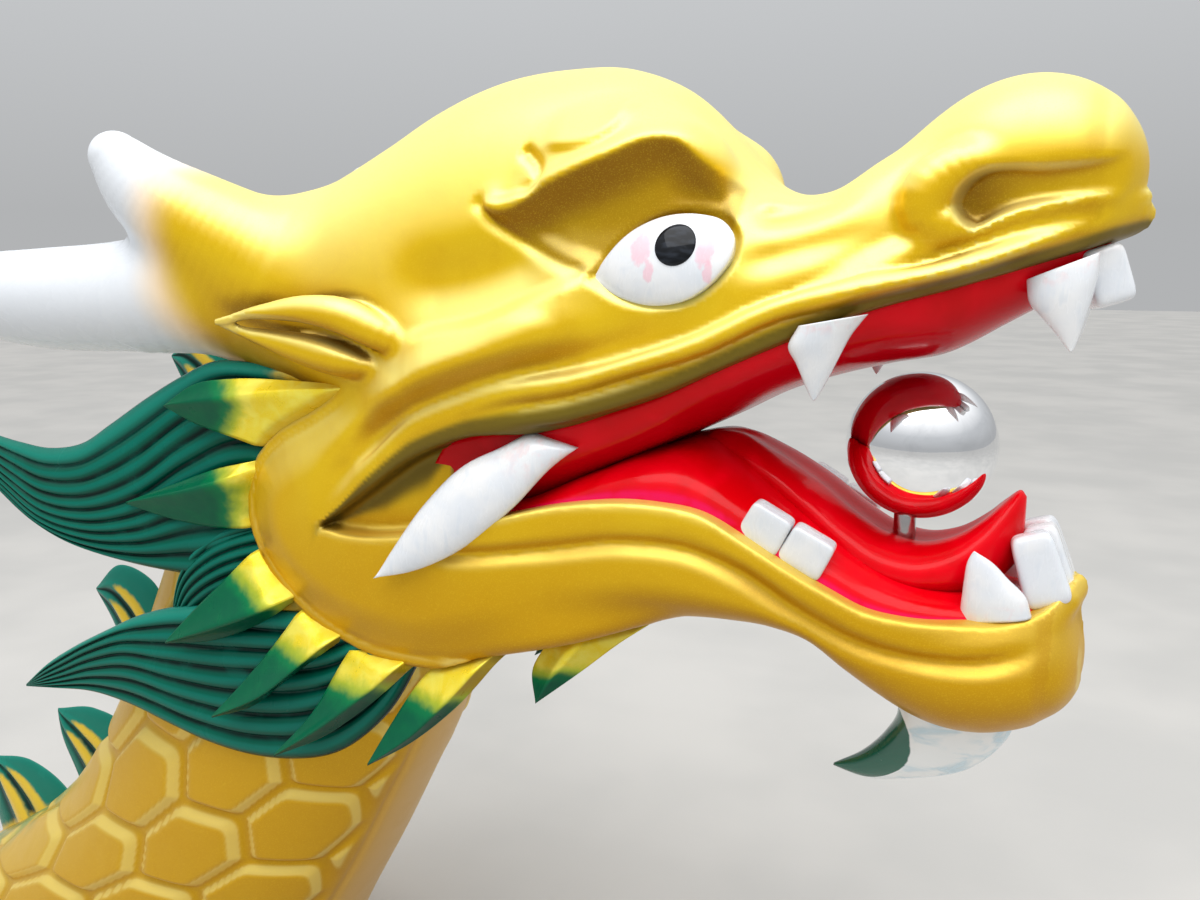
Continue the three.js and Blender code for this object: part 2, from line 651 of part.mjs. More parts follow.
// A shape with its neighbours and the gap around them taken out, as its one largest body
function fitted(shape, ...neighbours) {
  const taken = join([...neighbours, ...neighbours.map(swollen)]);
  const rest = settled(shape.subtract(taken));
  return rest.decompose().reduce((a, b) => (a.volume() > b.volume() ? a : b));
}

const figurehead = new THREE.Group();
const head = new THREE.Group();
head.position.set(BALL_CENTRE.x, 0, BALL_CENTRE.z);
figurehead.add(head, piece('base_flange', flangeSolid(), 'gold'));

const add = (name, shape, finish) => head.add(piece(name, shape, finish));
function addPair(name, shape, finish) {
  add(`${name}_right`, shape, finish);
  add(`${name}_left`, mirrored(shape), finish);
}

// The head's shell: skull over jaw
const skull = symmetric(skullSolid());
const jaw = fitted(symmetric(jawSolid()), skull);
add('skull', skull, 'gold');
add('lower_jaw', jaw, 'gold');

// Inside of the mouth
const palate = fitted(symmetric(archedSlab(PALATE, UPPER_LIP, SOCKET_DEPTH)), skull, jaw);
const mouthFloor = fitted(symmetric(archedSlab(MOUTH_FLOOR, LOWER_LIP, -SOCKET_DEPTH)), skull, jaw, palate);
const tongue = fitted(symmetric(archedSlab(TONGUE, LOWER_LIP, SOCKET_DEPTH)), jaw, palate, mouthFloor);
add('palate', palate, 'red');
add('mouth_floor', mouthFloor, 'red');
add('tongue', tongue, 'red');

// The neck, let in behind and below the head
const neck = fitted(symmetric(neckSolid()), skull, jaw, palate, mouthFloor);
add('neck', neck, 'gold');

// Ball on its stem
const ball = solid(new THREE.SphereGeometry(BALL_DIAMETER / 2, 28, 18));
const stemRod = new THREE.CylinderGeometry(STEM.radius, STEM.radius, -STEM.bottom, 16);
stemRod.rotateX(Math.PI / 2).translate(0, 0, STEM.bottom / 2);
add('ball', ball, 'chrome');
add('ball_stem', fitted(solid(stemRod), ball, tongue), 'chrome');

// Horns, ears and eyes
const horn = fitted(leafRings(HORN_BRANCH).add(leafRings(HORN_PRONG)), skull, neck);
const ear = fitted(leafRings(EAR), skull, jaw, horn);
const eye = fitted(ellipsoid(EYE, 16), skull);
const pupilForm = ellipsoid({
  ...PUPIL, radiusX: PUPIL.radius, radiusY: PUPIL.depth, radiusZ: PUPIL.radius,
}, 12);
addPair('horn', horn, 'horn');
addPair('ear', ear, 'gold');
addPair('eye', eye, 'tooth');
addPair('pupil', fitted(pupilForm, skull, eye), 'pupil');

// Teeth, each set into the lip or gum that carries it
const mouth = [skull, palate, jaw, mouthFloor, tongue];
const fangs = FANGS.map((row) => fitted(fangSolid(row), ...mouth));
FANGS.forEach(([name], i) => addPair(name, fangs[i], 'tooth'));
const [upperCanine, , , lowerCanine] = fangs;
addPair('lower_molars', fitted(roundedBlock(MOLAR), ...mouth), 'tooth');
add('upper_incisors', fitted(roundedBlock(UPPER_INCISORS), ...mouth, both(upperCanine)), 'tooth');
add('lower_incisors', fitted(roundedBlock(LOWER_INCISORS), ...mouth, both(lowerCanine)), 'tooth');

// Mane: cheek spikes over two fins on each side
const shell = [skull, jaw, neck];
const spikes = [];
for (const row of SPIKES) spikes.push(fitted(spikeSolid(row), ...shell, ...spikes));
spikes.forEach((spike, i) => addPair(`spike_${i + 1}`, spike, 'spike'));
const upperFinForm = join([finSolid(UPPER_FIN), finSolid(UPPER_FIN_LOBE)]);
const upperFin = fitted(upperFinForm, ...shell, horn, ear, ...spikes);
const lowerFin = fitted(finSolid(LOWER_FIN), ...shell, upperFin, ...spikes);
addPair('upper_fin', upperFin, 'green');
addPair('lower_fin', lowerFin, 'green');

// Fins down the nape and the barb under the chin
NAPE_FINS.forEach((row, i) => {
  add(`nape_fin_${i + 1}`, fitted(napeFinSolid(row), neck), 'green');
});
add('chin_barb', fitted(barbSolid(), jaw), 'horn');

export default figurehead;
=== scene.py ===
import json
import math

import bpy
import numpy as np
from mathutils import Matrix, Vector


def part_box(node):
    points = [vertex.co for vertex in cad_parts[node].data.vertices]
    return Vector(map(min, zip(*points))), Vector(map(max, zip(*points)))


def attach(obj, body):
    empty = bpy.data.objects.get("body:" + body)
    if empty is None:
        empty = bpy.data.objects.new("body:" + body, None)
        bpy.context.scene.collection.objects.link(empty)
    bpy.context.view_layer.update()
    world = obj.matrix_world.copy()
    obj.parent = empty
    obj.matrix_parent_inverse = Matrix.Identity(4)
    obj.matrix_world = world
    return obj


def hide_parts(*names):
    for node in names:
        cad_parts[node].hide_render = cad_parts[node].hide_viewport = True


# Figurehead of a dragon boat. Shapes are worked out in millimetres from the centre of the
# ball in the mouth, with +X out through the snout, +Z up and +Y to the dragon's left, and
# every finished mesh is then moved into the part's own frame in metres.
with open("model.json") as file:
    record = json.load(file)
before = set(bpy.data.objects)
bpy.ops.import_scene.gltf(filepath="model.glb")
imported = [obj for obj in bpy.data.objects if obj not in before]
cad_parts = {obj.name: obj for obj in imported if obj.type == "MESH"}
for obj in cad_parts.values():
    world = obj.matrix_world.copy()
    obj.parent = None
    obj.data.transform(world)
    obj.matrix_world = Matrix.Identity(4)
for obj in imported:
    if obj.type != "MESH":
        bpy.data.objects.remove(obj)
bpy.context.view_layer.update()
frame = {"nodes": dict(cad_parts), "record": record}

MM = 0.001
BALL_LOW, BALL_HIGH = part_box("ball")
BALL_CENTRE = (BALL_LOW + BALL_HIGH) / 2
BALL_RADIUS = (BALL_HIGH.z - BALL_LOW.z) / 2 / MM
FLANGE_TOP = (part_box("base_flange")[1].z - BALL_CENTRE.z) / MM

# Camera: where the photograph was taken from, in metres from the ball's centre
CAMERA_OFFSET = Vector((0.1120, -0.7075, 0.1178))
CAMERA_FORWARD = Vector((-0.44444, 0.87853, -0.17512))
CAMERA_LENS = 30.36


def make_camera():
    data = bpy.data.cameras.new("camera")
    data.lens = CAMERA_LENS
    data.sensor_width = 36.0
    data.clip_start = 0.01
    camera = bpy.data.objects.new("camera", data)
    bpy.context.scene.collection.objects.link(camera)
    camera.location = BALL_CENTRE + CAMERA_OFFSET
    camera.rotation_euler = CAMERA_FORWARD.to_track_quat("-Z", "Y").to_euler()
    bpy.context.scene.camera = camera


make_camera()


# Numbers: smooth steps, tables and paths

def smoothstep(low, high, value):
    t = np.clip((value - low) / (high - low), 0.0, 1.0)
    return t * t * (3.0 - 2.0 * t)


def smooth_curve(at, knots, values):
    """A smooth curve through (knots, values), one row of values a knot, read at `at`."""
    knots = np.asarray(knots, float)
    values = np.asarray(values, float)
    slopes = np.gradient(values, knots, axis=0)
    place = np.clip(at, knots[0], knots[-1])
    i = np.clip(np.searchsorted(knots, place) - 1, 0, len(knots) - 2)
    span = knots[i + 1] - knots[i]
    t = (place - knots[i]) / span
    if values.ndim == 2:
        t, span = t[..., None], span[..., None]
    return (
        (1 + 2 * t) * (1 - t) ** 2 * values[i] + t * (1 - t) ** 2 * span * slopes[i]
        + t * t * (3 - 2 * t) * values[i + 1] + t * t * (t - 1) * span * slopes[i + 1]
    )


def table_curve(at, table):
    """Reads a table whose first column is x, and gives its other columns one by one."""
    table = np.asarray(table, float)
    columns = smooth_curve(at, table[:, 0], table[:, 1:])
    return [columns[..., k] for k in range(columns.shape[-1])]


def smooth_path(points, steps):
    """Points along a smooth curve through the given points."""
    points = np.asarray(points, float)
    lengths = np.r_[0, np.cumsum(np.linalg.norm(np.diff(points, axis=0), axis=1))]
    return smooth_curve(np.linspace(0, lengths[-1], steps), lengths, points)


def near_path(x, z, path):
    """Distance from (x, z) to a path, and share of the way along it."""
    best = np.full(np.broadcast(x, z).shape, 1e9)
    share = np.zeros_like(best)
    count = len(path) - 1
    for i in range(count):
        (x0, z0), (x1, z1) = path[i], path[i + 1]
        dx, dz = x1 - x0, z1 - z0
        t = np.clip(((x - x0) * dx + (z - z0) * dz) / (dx * dx + dz * dz), 0, 1)
        rx, rz = x - x0 - t * dx, z - z0 - t * dz
        distance = np.hypot(rx, rz)
        closer = distance < best
        best = np.where(closer, distance, best)
        share = np.where(closer, (i + t) / count, share)
    return best, share


def outline_distance(x, z, corners):
    """Distance to a closed outline in the side view, below zero inside it."""
    path = np.asarray(list(corners) + [corners[0]], float)
    distance, _ = near_path(x, z, path)
    inside = np.zeros(distance.shape, bool)
    for (x0, z0), (x1, z1) in zip(path[:-1], path[1:]):
        crosses = (z0 > z) != (z1 > z)
        inside ^= crosses & (x < x0 + (z - z0) * (x1 - x0) / (z1 - z0 + 1e-12))
    return np.where(inside, -distance, distance)


# Implicit forms: below zero inside, in millimetres

def soft_union(d1, d2, k):
    h = np.clip(0.5 + 0.5 * (d2 - d1) / k, 0, 1)
    return d2 + (d1 - d2) * h - k * h * (1 - h)


def soft_meet(d1, d2, k):
    return -soft_union(-d1, -d2, k)


def egg(x, y, z, centre, radii, tilt=0.0, yaw=0.0):
    """An ellipsoid, pitched nose up by tilt and turned by yaw."""
    dx, dy, dz = x - centre[0], y - centre[1], z - centre[2]
    c, s = math.cos(yaw), math.sin(yaw)
    dx, dy = c * dx + s * dy, c * dy - s * dx
    c, s = math.cos(tilt), math.sin(tilt)
    dx, dz = c * dx + s * dz, c * dz - s * dx
    k0 = np.sqrt((dx / radii[0]) ** 2 + (dy / radii[1]) ** 2 + (dz / radii[2]) ** 2)
    k1 = np.sqrt((dx / radii[0] ** 2) ** 2 + (dy / radii[1] ** 2) ** 2
                 + (dz / radii[2] ** 2) ** 2)
    return k0 * (k0 - 1) / np.maximum(k1, 1e-6)


def tube(x, y, z, points, steps):
    """A round tube of changing radius: points are x, y, z, radius."""
    path = smooth_path(points, steps)
    best = None
    for (x0, y0, z0, r0), (x1, y1, z1, r1) in zip(path[:-1], path[1:]):
        dx, dy, dz = x1 - x0, y1 - y0, z1 - z0
        t = ((x - x0) * dx + (y - y0) * dy + (z - z0) * dz) / (dx * dx + dy * dy + dz * dz)
        t = np.clip(t, 0, 1)
        d = np.sqrt((x - x0 - t * dx) ** 2 + (y - y0 - t * dy) ** 2
                    + (z - z0 - t * dz) ** 2) - (r0 + t * (r1 - r0))
        best = d if best is None else np.minimum(best, d)
    return best


def true_distance(form, x, y, z):
    """Turns a form that is only zero in the right place into about a distance."""
    e = 0.5
    here = form(x, y, z)
    slope = np.sqrt((form(x + e, y, z) - here) ** 2 + (form(x, y + e, z) - here) ** 2
                    + (form(x, y, z + e) - here) ** 2) / e
    return here / np.maximum(slope, 1e-4)


# Side map: values drawn once over the side view, then read back anywhere by x and z

class SideMap:
    STEP = 1.5

    def __init__(self, low, high, draw):
        self.low = low
        self.x = np.arange(low[0], high[0] + self.STEP, self.STEP)
        self.z = np.arange(low[1], high[1] + self.STEP, self.STEP)
        self.values = draw(self.x[:, None], self.z[None, :])

    def __call__(self, x, z):
        u = np.clip((x - self.low[0]) / self.STEP, 0, len(self.x) - 1.001)
        v = np.clip((z - self.low[1]) / self.STEP, 0, len(self.z) - 1.001)
        i, j = u.astype(int), v.astype(int)
        u, v = u - i, v - j
        m = self.values
        return ((1 - u) * (1 - v) * m[i, j] + u * (1 - v) * m[i + 1, j]
                + (1 - u) * v * m[i, j + 1] + u * v * m[i + 1, j + 1])


# Strokes of the side map: rows of points x, z with a height and a width

def ridge(x, z, points, height, width, start, end):
    """A rounded ridge along a path, or a groove where height is negative."""
    distance, share = near_path(x, z, smooth_path(points, 5 * len(points)))
    return height * np.exp(-((distance / width) ** 2)) * end_fade(share, start, end)


def plate(x, z, points, closing, height, edge, fade, start, end):
    """A raised plate: full height along the edge through points, sinking back over fade
    inside the outline that closing completes, and fading out towards the edge's two ends."""
    path = smooth_path(points, 6 * len(points))
    distance, share = near_path(x, z, path)
    inside = -outline_distance(x, z, path.tolist() + closing)
    rise = height * smoothstep(-edge, edge, inside) * np.exp(-((distance / fade) ** 2))
    return rise * end_fade(share, start, end)


def end_fade(share, start, end):
    """1 along a path, fading to 0 over a share of it at its start and at its end."""
    return smoothstep(0, start, share) * smoothstep(0, end, 1 - share)


# Surface net: turns a field into a mesh, worked out only near the surface

CORNERS = [(i, j, k) for i in (0, 1) for j in (0, 1) for k in (0, 1)]
EDGES = [(a, b) for a in range(8) for b in range(a + 1, 8)
         if sum(abs(p - q) for p, q in zip(CORNERS[a], CORNERS[b])) == 1]
COARSE = 4


def sample_near_surface(field, xs, ys, zs, step):
    """The field on a grid, worked out only close to its surface and rough elsewhere."""
    shape = (len(xs), len(ys), len(zs))
    rough_at = [np.arange(0, n + COARSE, COARSE) for n in shape]
    x, y, z = [axis[0] + step * place for axis, place in zip((xs, ys, zs), rough_at)]
    rough = field(*[g.ravel() for g in np.meshgrid(x, y, z, indexing="ij")])
    rough = rough.reshape(len(x), len(y), len(z))
    reach = 1.9 * COARSE * step
    near = np.zeros([n - 1 for n in rough.shape], bool)
    sign = np.zeros([n - 1 for n in rough.shape], np.int8)
    for i, j, k in CORNERS:
        corner = rough[i:rough.shape[0] - 1 + i, j:rough.shape[1] - 1 + j,
                       k:rough.shape[2] - 1 + k]
        near |= np.abs(corner) < reach
        sign += np.where(corner < 0, -1, 1).astype(np.int8)
    near |= np.abs(sign) < 8
    values = np.where(sign < 0, -99.0, 99.0)
    for axis in range(3):
        values = values.repeat(COARSE, axis)
        near = near.repeat(COARSE, axis)
    values = values[:shape[0], :shape[1], :shape[2]].copy()
    near = near[:shape[0], :shape[1], :shape[2]]
    i, j, k = np.nonzero(near)
    values[i, j, k] = field(xs[i], ys[j], zs[k])
    return values


def net(values, low, step):
    """Surface net of the zero level: vertices in millimetres, and quads facing out."""
    inside = values < 0
    nx, ny, nz = values.shape
    count = np.zeros((nx - 1, ny - 1, nz - 1), np.uint8)
    for i, j, k in CORNERS:
        count += inside[i:nx - 1 + i, j:ny - 1 + j, k:nz - 1 + k]
    cells = np.argwhere((count > 0) & (count < 8))
    number = np.full(count.shape, -1, np.int64)
    number[tuple(cells.T)] = np.arange(len(cells))
    at_corner = [values[cells[:, 0] + i, cells[:, 1] + j, cells[:, 2] + k]
                 for i, j, k in CORNERS]
    total = np.zeros((len(cells), 3))
    crossings = np.zeros(len(cells))
    for a, b in EDGES:
        va, vb = at_corner[a], at_corner[b]
        cut = (va < 0) != (vb < 0)
        t = np.where(cut, va / np.where(cut, va - vb, 1), 0)[:, None]
        pa, pb = np.array(CORNERS[a], float), np.array(CORNERS[b], float)
        total += np.where(cut[:, None], pa + t * (pb - pa), 0)
        crossings += cut
    points = low + step * (cells + total / crossings[:, None])
    quads = []
    for axis in range(3):
        u, v = (axis + 1) % 3, (axis + 2) % 3
        first = [slice(None)] * 3
        second = [slice(None)] * 3
        first[axis], second[axis] = slice(0, -1), slice(1, None)
        for s in (first, second):
            s[u], s[v] = slice(1, -1), slice(1, -1)
        here, there = inside[tuple(first)], inside[tuple(second)]
        du, dv = np.zeros(3, int), np.zeros(3, int)
        du[u], dv[v] = 1, 1
        for flip, mask in ((False, here & ~there), (True, ~here & there)):
            base = np.argwhere(mask) + du + dv
            ring = [base - du - dv, base - dv, base, base - du]
            if flip:
                ring = ring[::-1]
            quads.append(np.stack([number[tuple(r.T)] for r in ring], 1))
    return points, np.concatenate(quads)


def field_slope(field, points, e=0.5):
    """The field and its slope at points, for a field that mirrors over the middle plane."""
    x, y, z = points[:, 0], np.abs(points[:, 1]), points[:, 2]
    side = np.where(points[:, 1] < 0, -1.0, 1.0)
    here = field(x, y, z)
    slope = np.stack([
        field(x + e, y, z) - here, side * (field(x, y + e, z) - here),
        field(x, y, z + e) - here,
    ], 1) / e
    return here, slope


def grow_mesh(field, low, high, step):
    """Points and quads of the surface of field(x, |y|, z), on both sides of the middle."""
    xs = np.arange(low[0], high[0], step)
    zs = np.arange(low[2], high[2], step)
    half = np.arange(0, high[1] + step, step)
    values = sample_near_surface(field, xs, half, zs, step)
    values = np.concatenate([values[:, :0:-1], values], axis=1)
    points, quads = net(values, np.array([xs[0], -half[-1], zs[0]]), step)
    for _ in range(2):
        here, slope = field_slope(field, points)
        steep = np.maximum((slope ** 2).sum(1), 0.05)
        move = -(here / steep)[:, None] * slope
        length = np.linalg.norm(move, axis=1, keepdims=True)
        points = points + move * np.minimum(1, 0.8 * step / np.maximum(length, 1e-9))
    return points, quads


# Pieces: meshes, the values that their paint reads, and what they stand for

def new_mesh(name, points, *groups):
    """A smooth object from points in millimetres from the ball's centre and groups of faces."""
    mesh = bpy.data.meshes.new(name)
    world = np.asarray(points, float) * MM + np.array(BALL_CENTRE)
    sizes = np.concatenate([np.full(len(group), group.shape[1]) for group in groups])
    starts = np.r_[0, np.cumsum(sizes)[:-1]].astype(np.int32)
    corners = np.concatenate([group.ravel() for group in groups]).astype(np.int32)
    mesh.vertices.add(len(world))
    mesh.vertices.foreach_set("co", world.astype(np.float32).ravel())
    mesh.loops.add(len(corners))
    mesh.loops.foreach_set("vertex_index", corners)
    mesh.polygons.add(len(starts))
    mesh.polygons.foreach_set("loop_start", starts)
    mesh.update(calc_edges=True)
    mesh.validate()
    mesh.polygons.foreach_set("use_smooth", np.ones(len(mesh.polygons), bool))
    piece = bpy.data.objects.new(name, mesh)
    bpy.context.scene.collection.objects.link(piece)
    return piece


def give_values(piece, values):
    """Numbers, one a point from 0 to 1, that the materials read."""
    for label, value in values.items():
        attribute = piece.data.attributes.new(label, "FLOAT", "POINT")
        attribute.data.foreach_set("value", np.clip(value, 0, 1).astype(np.float32))


def dress(piece, material, slot, *nodes):
    """Gives a piece its material, hides the nodes that it stands for and attaches it to its body;
    slot is not used.
    """
    piece.data.materials.append(material)
    if nodes:
        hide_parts(*nodes)
    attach(piece, "root")
    return piece


# Lofts: closed skins through rings of points

def skin(rings, **values):
    """A closed skin through rings, facing out, with one value a ring or a point if given."""
    rings = np.asarray(rings, float)
    count, around = rings.shape[:2]
    i, j = np.meshgrid(np.arange(count - 1), np.arange(around), indexing="ij")
    k = (j + 1) % around
    quads = np.stack([i * around + j, (i + 1) * around + j, (i + 1) * around + k,
                      i * around + k], -1).reshape(-1, 4)
    points = np.concatenate([rings.reshape(-1, 3), rings[[0, -1]].mean(axis=1)])
    ring = np.arange(around)
    after = np.roll(ring, -1)
    last = (count - 1) * around
    caps = np.concatenate([
        np.stack([ring, after, np.full(around, count * around)], 1),
        np.stack([after + last, ring + last, np.full(around, count * around + 1)], 1),
    ])
    corners = np.concatenate([quads[:, [0, 1, 2]], quads[:, [0, 2, 3]], caps])
    a, b, c = [points[corners[:, n]] for n in range(3)]
    if (np.cross(a, b) * c).sum() < 0:
        quads, caps = quads[:, ::-1], caps[:, ::-1]
    given = {}
    for name, value in values.items():
        value = np.asarray(value, float)
        value = np.broadcast_to(value[:, None] if value.ndim == 1 else value, (count, around))
        given[name] = np.concatenate([value.ravel(), value[[0, -1]].mean(axis=1)])
    return points, [quads, caps], given


def join(*skins):
    """Several skins as one."""
    points, faces, given, start = [], [], {}, 0
    for skin_points, skin_faces, skin_values in skins:
        points.append(skin_points)
        faces += [group + start for group in skin_faces]
        start += len(skin_points)
        for name, value in skin_values.items():
            given.setdefault(name, []).append(value)
    return np.concatenate(points), faces, {n: np.concatenate(v) for n, v in given.items()}


def make_piece(name, shape, mirror=False):
    points, faces, given = shape
    if mirror:
        points = points * (1, -1, 1)
        faces = [group[:, ::-1] for group in faces]
    piece = new_mesh(name, points, *faces)
    normals = np.empty(3 * len(points), np.float32)
    piece.data.vertex_normals.foreach_get("vector", normals)
    # How far each point faces up and down, for the paints' painted highlight and painted shade
    give_values(piece, given | {"lift": normals[2::3], "droop": -normals[2::3]})
    return piece


def dress_pair(name, shape, material, slot, *nodes):
    """The right piece of a pair and its mirror image on the left."""
    for word, mirror in (("right", False), ("left", True)):
        dress(make_piece(f"{name}_{word}", shape, mirror), material, slot,
              *[f"{node}_{word}" for node in nodes])


def superellipse(count, power):
    """Cosine and sine round a ring, squared off where power is above 2."""
    angle = 2 * np.pi * np.arange(count) / count
    c, s = np.cos(angle), np.sin(angle)
    return np.sign(c) * np.abs(c) ** (2 / power), np.sign(s) * np.abs(s) ** (2 / power)


# Head: skull, snout, jaw, cheeks, ears and horns of one moulded shell

# The upper lip's edge from the mouth's corner forward: x, z, distance from the middle
UPPER_LIP = [
    (-470, -104, 119), (-421, -75, 119), (-380, -47, 117), (-341, -20, 115), (-295, 0, 112),
    (-240, 6, 109), (-196, 18, 107), (-153, 33, 105), (-121, 49, 102), (-71, 72, 95),
    (-28, 90, 86), (28, 107, 70), (68, 120, 53), (100, 131, 34), (121, 139, 12), (125, 141, 0),
]
# The upper lip's rounded crest above that edge
UPPER_CREST = [
    (-418, -70, 124), (-392, -45, 129), (-374, -26, 130), (-336, 5, 129), (-290, 24, 126),
    (-259, 34, 123), (-215, 42, 119), (-173, 55, 115), (-125, 70, 109), (-79, 92, 101),
    (-28, 107, 91), (35, 124, 72), (80, 140, 48), (108, 150, 26), (122, 153, 8), (124, 153, 0),
]
# The lower lip's edge from the mouth's corner forward: x, z, distance from the middle
LOWER_LIP = [
    (-470, -106, 119), (-421, -78, 119), (-400, -80, 118), (-330, -72, 114), (-266, -54, 110),
    (-218, -42, 105), (-156, -36, 98), (-124, -40, 95), (-91, -57, 91), (-67, -71, 87),
    (-39, -86, 81), (-20, -95, 77), (7, -100, 70), (42, -100, 59), (68, -98, 48),
    (87, -91, 33), (99, -80, 17), (102, -77, 0),
]
# Where the open mouth ends
MOUTH_CORNER = -421
# Radii of the rounded rolls along the lips and round the cheek's shield
LIP_ROLL = 9.0
FLANGE_ROLL = 5.0
CREST_ROLL = 6.5
UNDER_ROLL = 7.5

# Sections across the skull: x, top, height of the widest point, half width, half width at
# the lower edge, lower edge
SKULL = [
    (-600, 146, 104, 40, 30, 60), (-570, 160, 104, 84, 70, 52), (-540, 170, 100, 104, 90, 42),
    (-500, 178, 96, 116, 100, 34), (-460, 193, 88, 123, 106, 28),
    (-400, 222, 70, 126, 110, 0), (-360, 243, 60, 125, 108, -40), (-312, 259, 56, 122, 105, -20),
    (-257, 264, 60, 117, 102, 0), (-210, 260, 70, 112, 98, 12), (-170, 242, 80, 106, 95, 26),
    (-140, 214, 88, 101, 92, 38), (-110, 180, 98, 96, 89, 54), (-90, 170, 102, 91, 86, 62),
    (-60, 171, 110, 83, 82, 76), (-30, 190, 118, 71, 76, 88), (5, 210, 130, 58, 67, 100),
    (40, 216, 145, 48, 58, 111), (75, 200, 155, 34, 43, 124), (100, 180, 155, 18, 26, 132),
    (112, 166, 150, 7, 11, 138), (130, 160, 150, 3, 5, 142),
]

# Sections across the jaw: x, bottom, height of the widest point, half width, and half width
# at the lip
JAW = [
    (-500, -92, -84, 60, 50), (-490, -112, -88, 104, 96), (-461, -144, -100, 120, 110),
    (-415, -170, -108, 125, 113), (-340, -173, -108, 122, 113), (-262, -157, -100, 116, 107),
    (-200, -143, -92, 110, 101), (-155, -134, -86, 105, 97), (-109, -129, -92, 99, 92),
    (-79, -129, -100, 93, 86), (-54, -136, -108, 88, 80), (-30, -156, -118, 84, 75),
    (0, -176, -126, 80, 69), (30, -184, -132, 75, 60), (60, -180, -132, 64, 48),
    (85, -166, -128, 47, 34), (104, -141, -118, 24, 16), (110, -122, -114, 6, 5),
]

# Outline of the cheek's shield in the side view
CHEEK = [
    (-338, 72), (-370, 52), (-402, 28), (-436, 8), (-472, -10), (-496, -32), (-508, -60),
    (-506, -92), (-490, -122), (-462, -147), (-412, -170), (-340, -178), (-262, -160),
    (-200, -142), (-150, -120), (-120, -60), (-160, 20), (-240, 80),
]

# Distance of the shield's edge from the middle: x, y
CHEEK_DOME = [(-520, 118), (-300, 119), (-250, 115), (-210, 106), (-170, 92), (-110, 76)]
# Inner wall of the mouth's corner: x, distance from the middle
CORNER_WALL = [(-424, 118), (-400, 113), (-360, 107), (-316, 102), (-308, 60), (-292, 0), (0, 0)]

# Rounded masses: centre, half lengths, pitch and turn
NOSE = ((57, 0, 176), (66, 60, 61))
BROW = ((-196, 62, 178), (70, 40, 44), 0.12, -0.12)
CHIN = ((48, 0, -136), (63, 72, 49))

# Tubes: x, distance from the middle, z, radius
NOSE_WING = [(40, 47, 182, 8), (18, 55, 176, 15), (5, 58, 162, 17), (5, 59, 150, 15),
             (20, 58, 144, 12), (30, 56, 144, 8)]
SNOUT_STRIP = [(-62, 80, 101, 2), (-8, 62, 121, 12), (35, 52, 134, 12), (80, 34, 148, 9),
               (110, 16, 156, 5)]
NOSE_BAND = [(-14, 60, 128, 1), (14, 62, 134, 5), (34, 58, 142, 7), (50, 53, 148, 6),
             (80, 42, 153, 5), (106, 26, 158, 4), (122, 8, 161, 3)]
EAR_RIM = [(-340, 112, 60, 8), (-360, 126, 72, 13), (-384, 135, 84, 14), (-410, 141, 88, 12),
           (-450, 147, 85, 8), (-494, 152, 79, 2)]
EAR_LOBE = [(-368, 120, 50, 10), (-392, 129, 54, 14), (-420, 134, 60, 13), (-456, 142, 69, 8),
            (-490, 149, 77, 2)]
HORN_BRANCH = [(-480, 50, 110, 60), (-560, 96, 102, 52), (-620, 130, 96, 45), (-690, 146, 94, 42),
               (-760, 157, 97, 35), (-820, 165, 102, 23), (-862, 170, 107, 7)]
HORN_PRONG = [(-490, 84, 116, 52), (-540, 116, 150, 42), (-576, 138, 180, 31), (-592, 150, 204, 20)]

# Groove along the ear: x, z
EAR_GROOVE = [(-486, 79), (-448, 79), (-407, 74), (-376, 62), (-352, 50)]

# Outline of the eye
EYE = [
    (-200, 112), (-190, 126), (-173, 143), (-153, 152), (-131, 153), (-114, 148), (-106, 138),
    (-106, 127), (-115, 112), (-133, 99), (-155, 95), (-179, 100),
]
# How far the gold sinks in behind the eyeball
EYE_DENT = 6.0


def skull_section(x, y, z):
    top, mid, half, low_half, low = table_curve(x, SKULL)
    rise = np.maximum(z - mid, 0) / (top - mid)
    sink = np.clip((mid - z) / (mid - low), 0, 1.3)
    width = half + (low_half - half) * sink ** 2
    return (np.abs(y / width) ** 2.4 + rise ** 2.1) ** 0.45 * 90 - 90


def jaw_section(x, y, z):
    bottom, mid, half, top_half = table_curve(x, JAW)
    top = table_curve(x, LOWER_LIP)[0]
    sink = np.maximum(mid - z, 0) / (mid - bottom)
    rise = np.clip((z - mid) / (top - mid + 20), 0, 1.2)
    width = half + (top_half - half) * rise ** 2
    return (np.abs(y / width) ** 2.5 + sink ** 2.1) ** 0.45 * 70 - 70


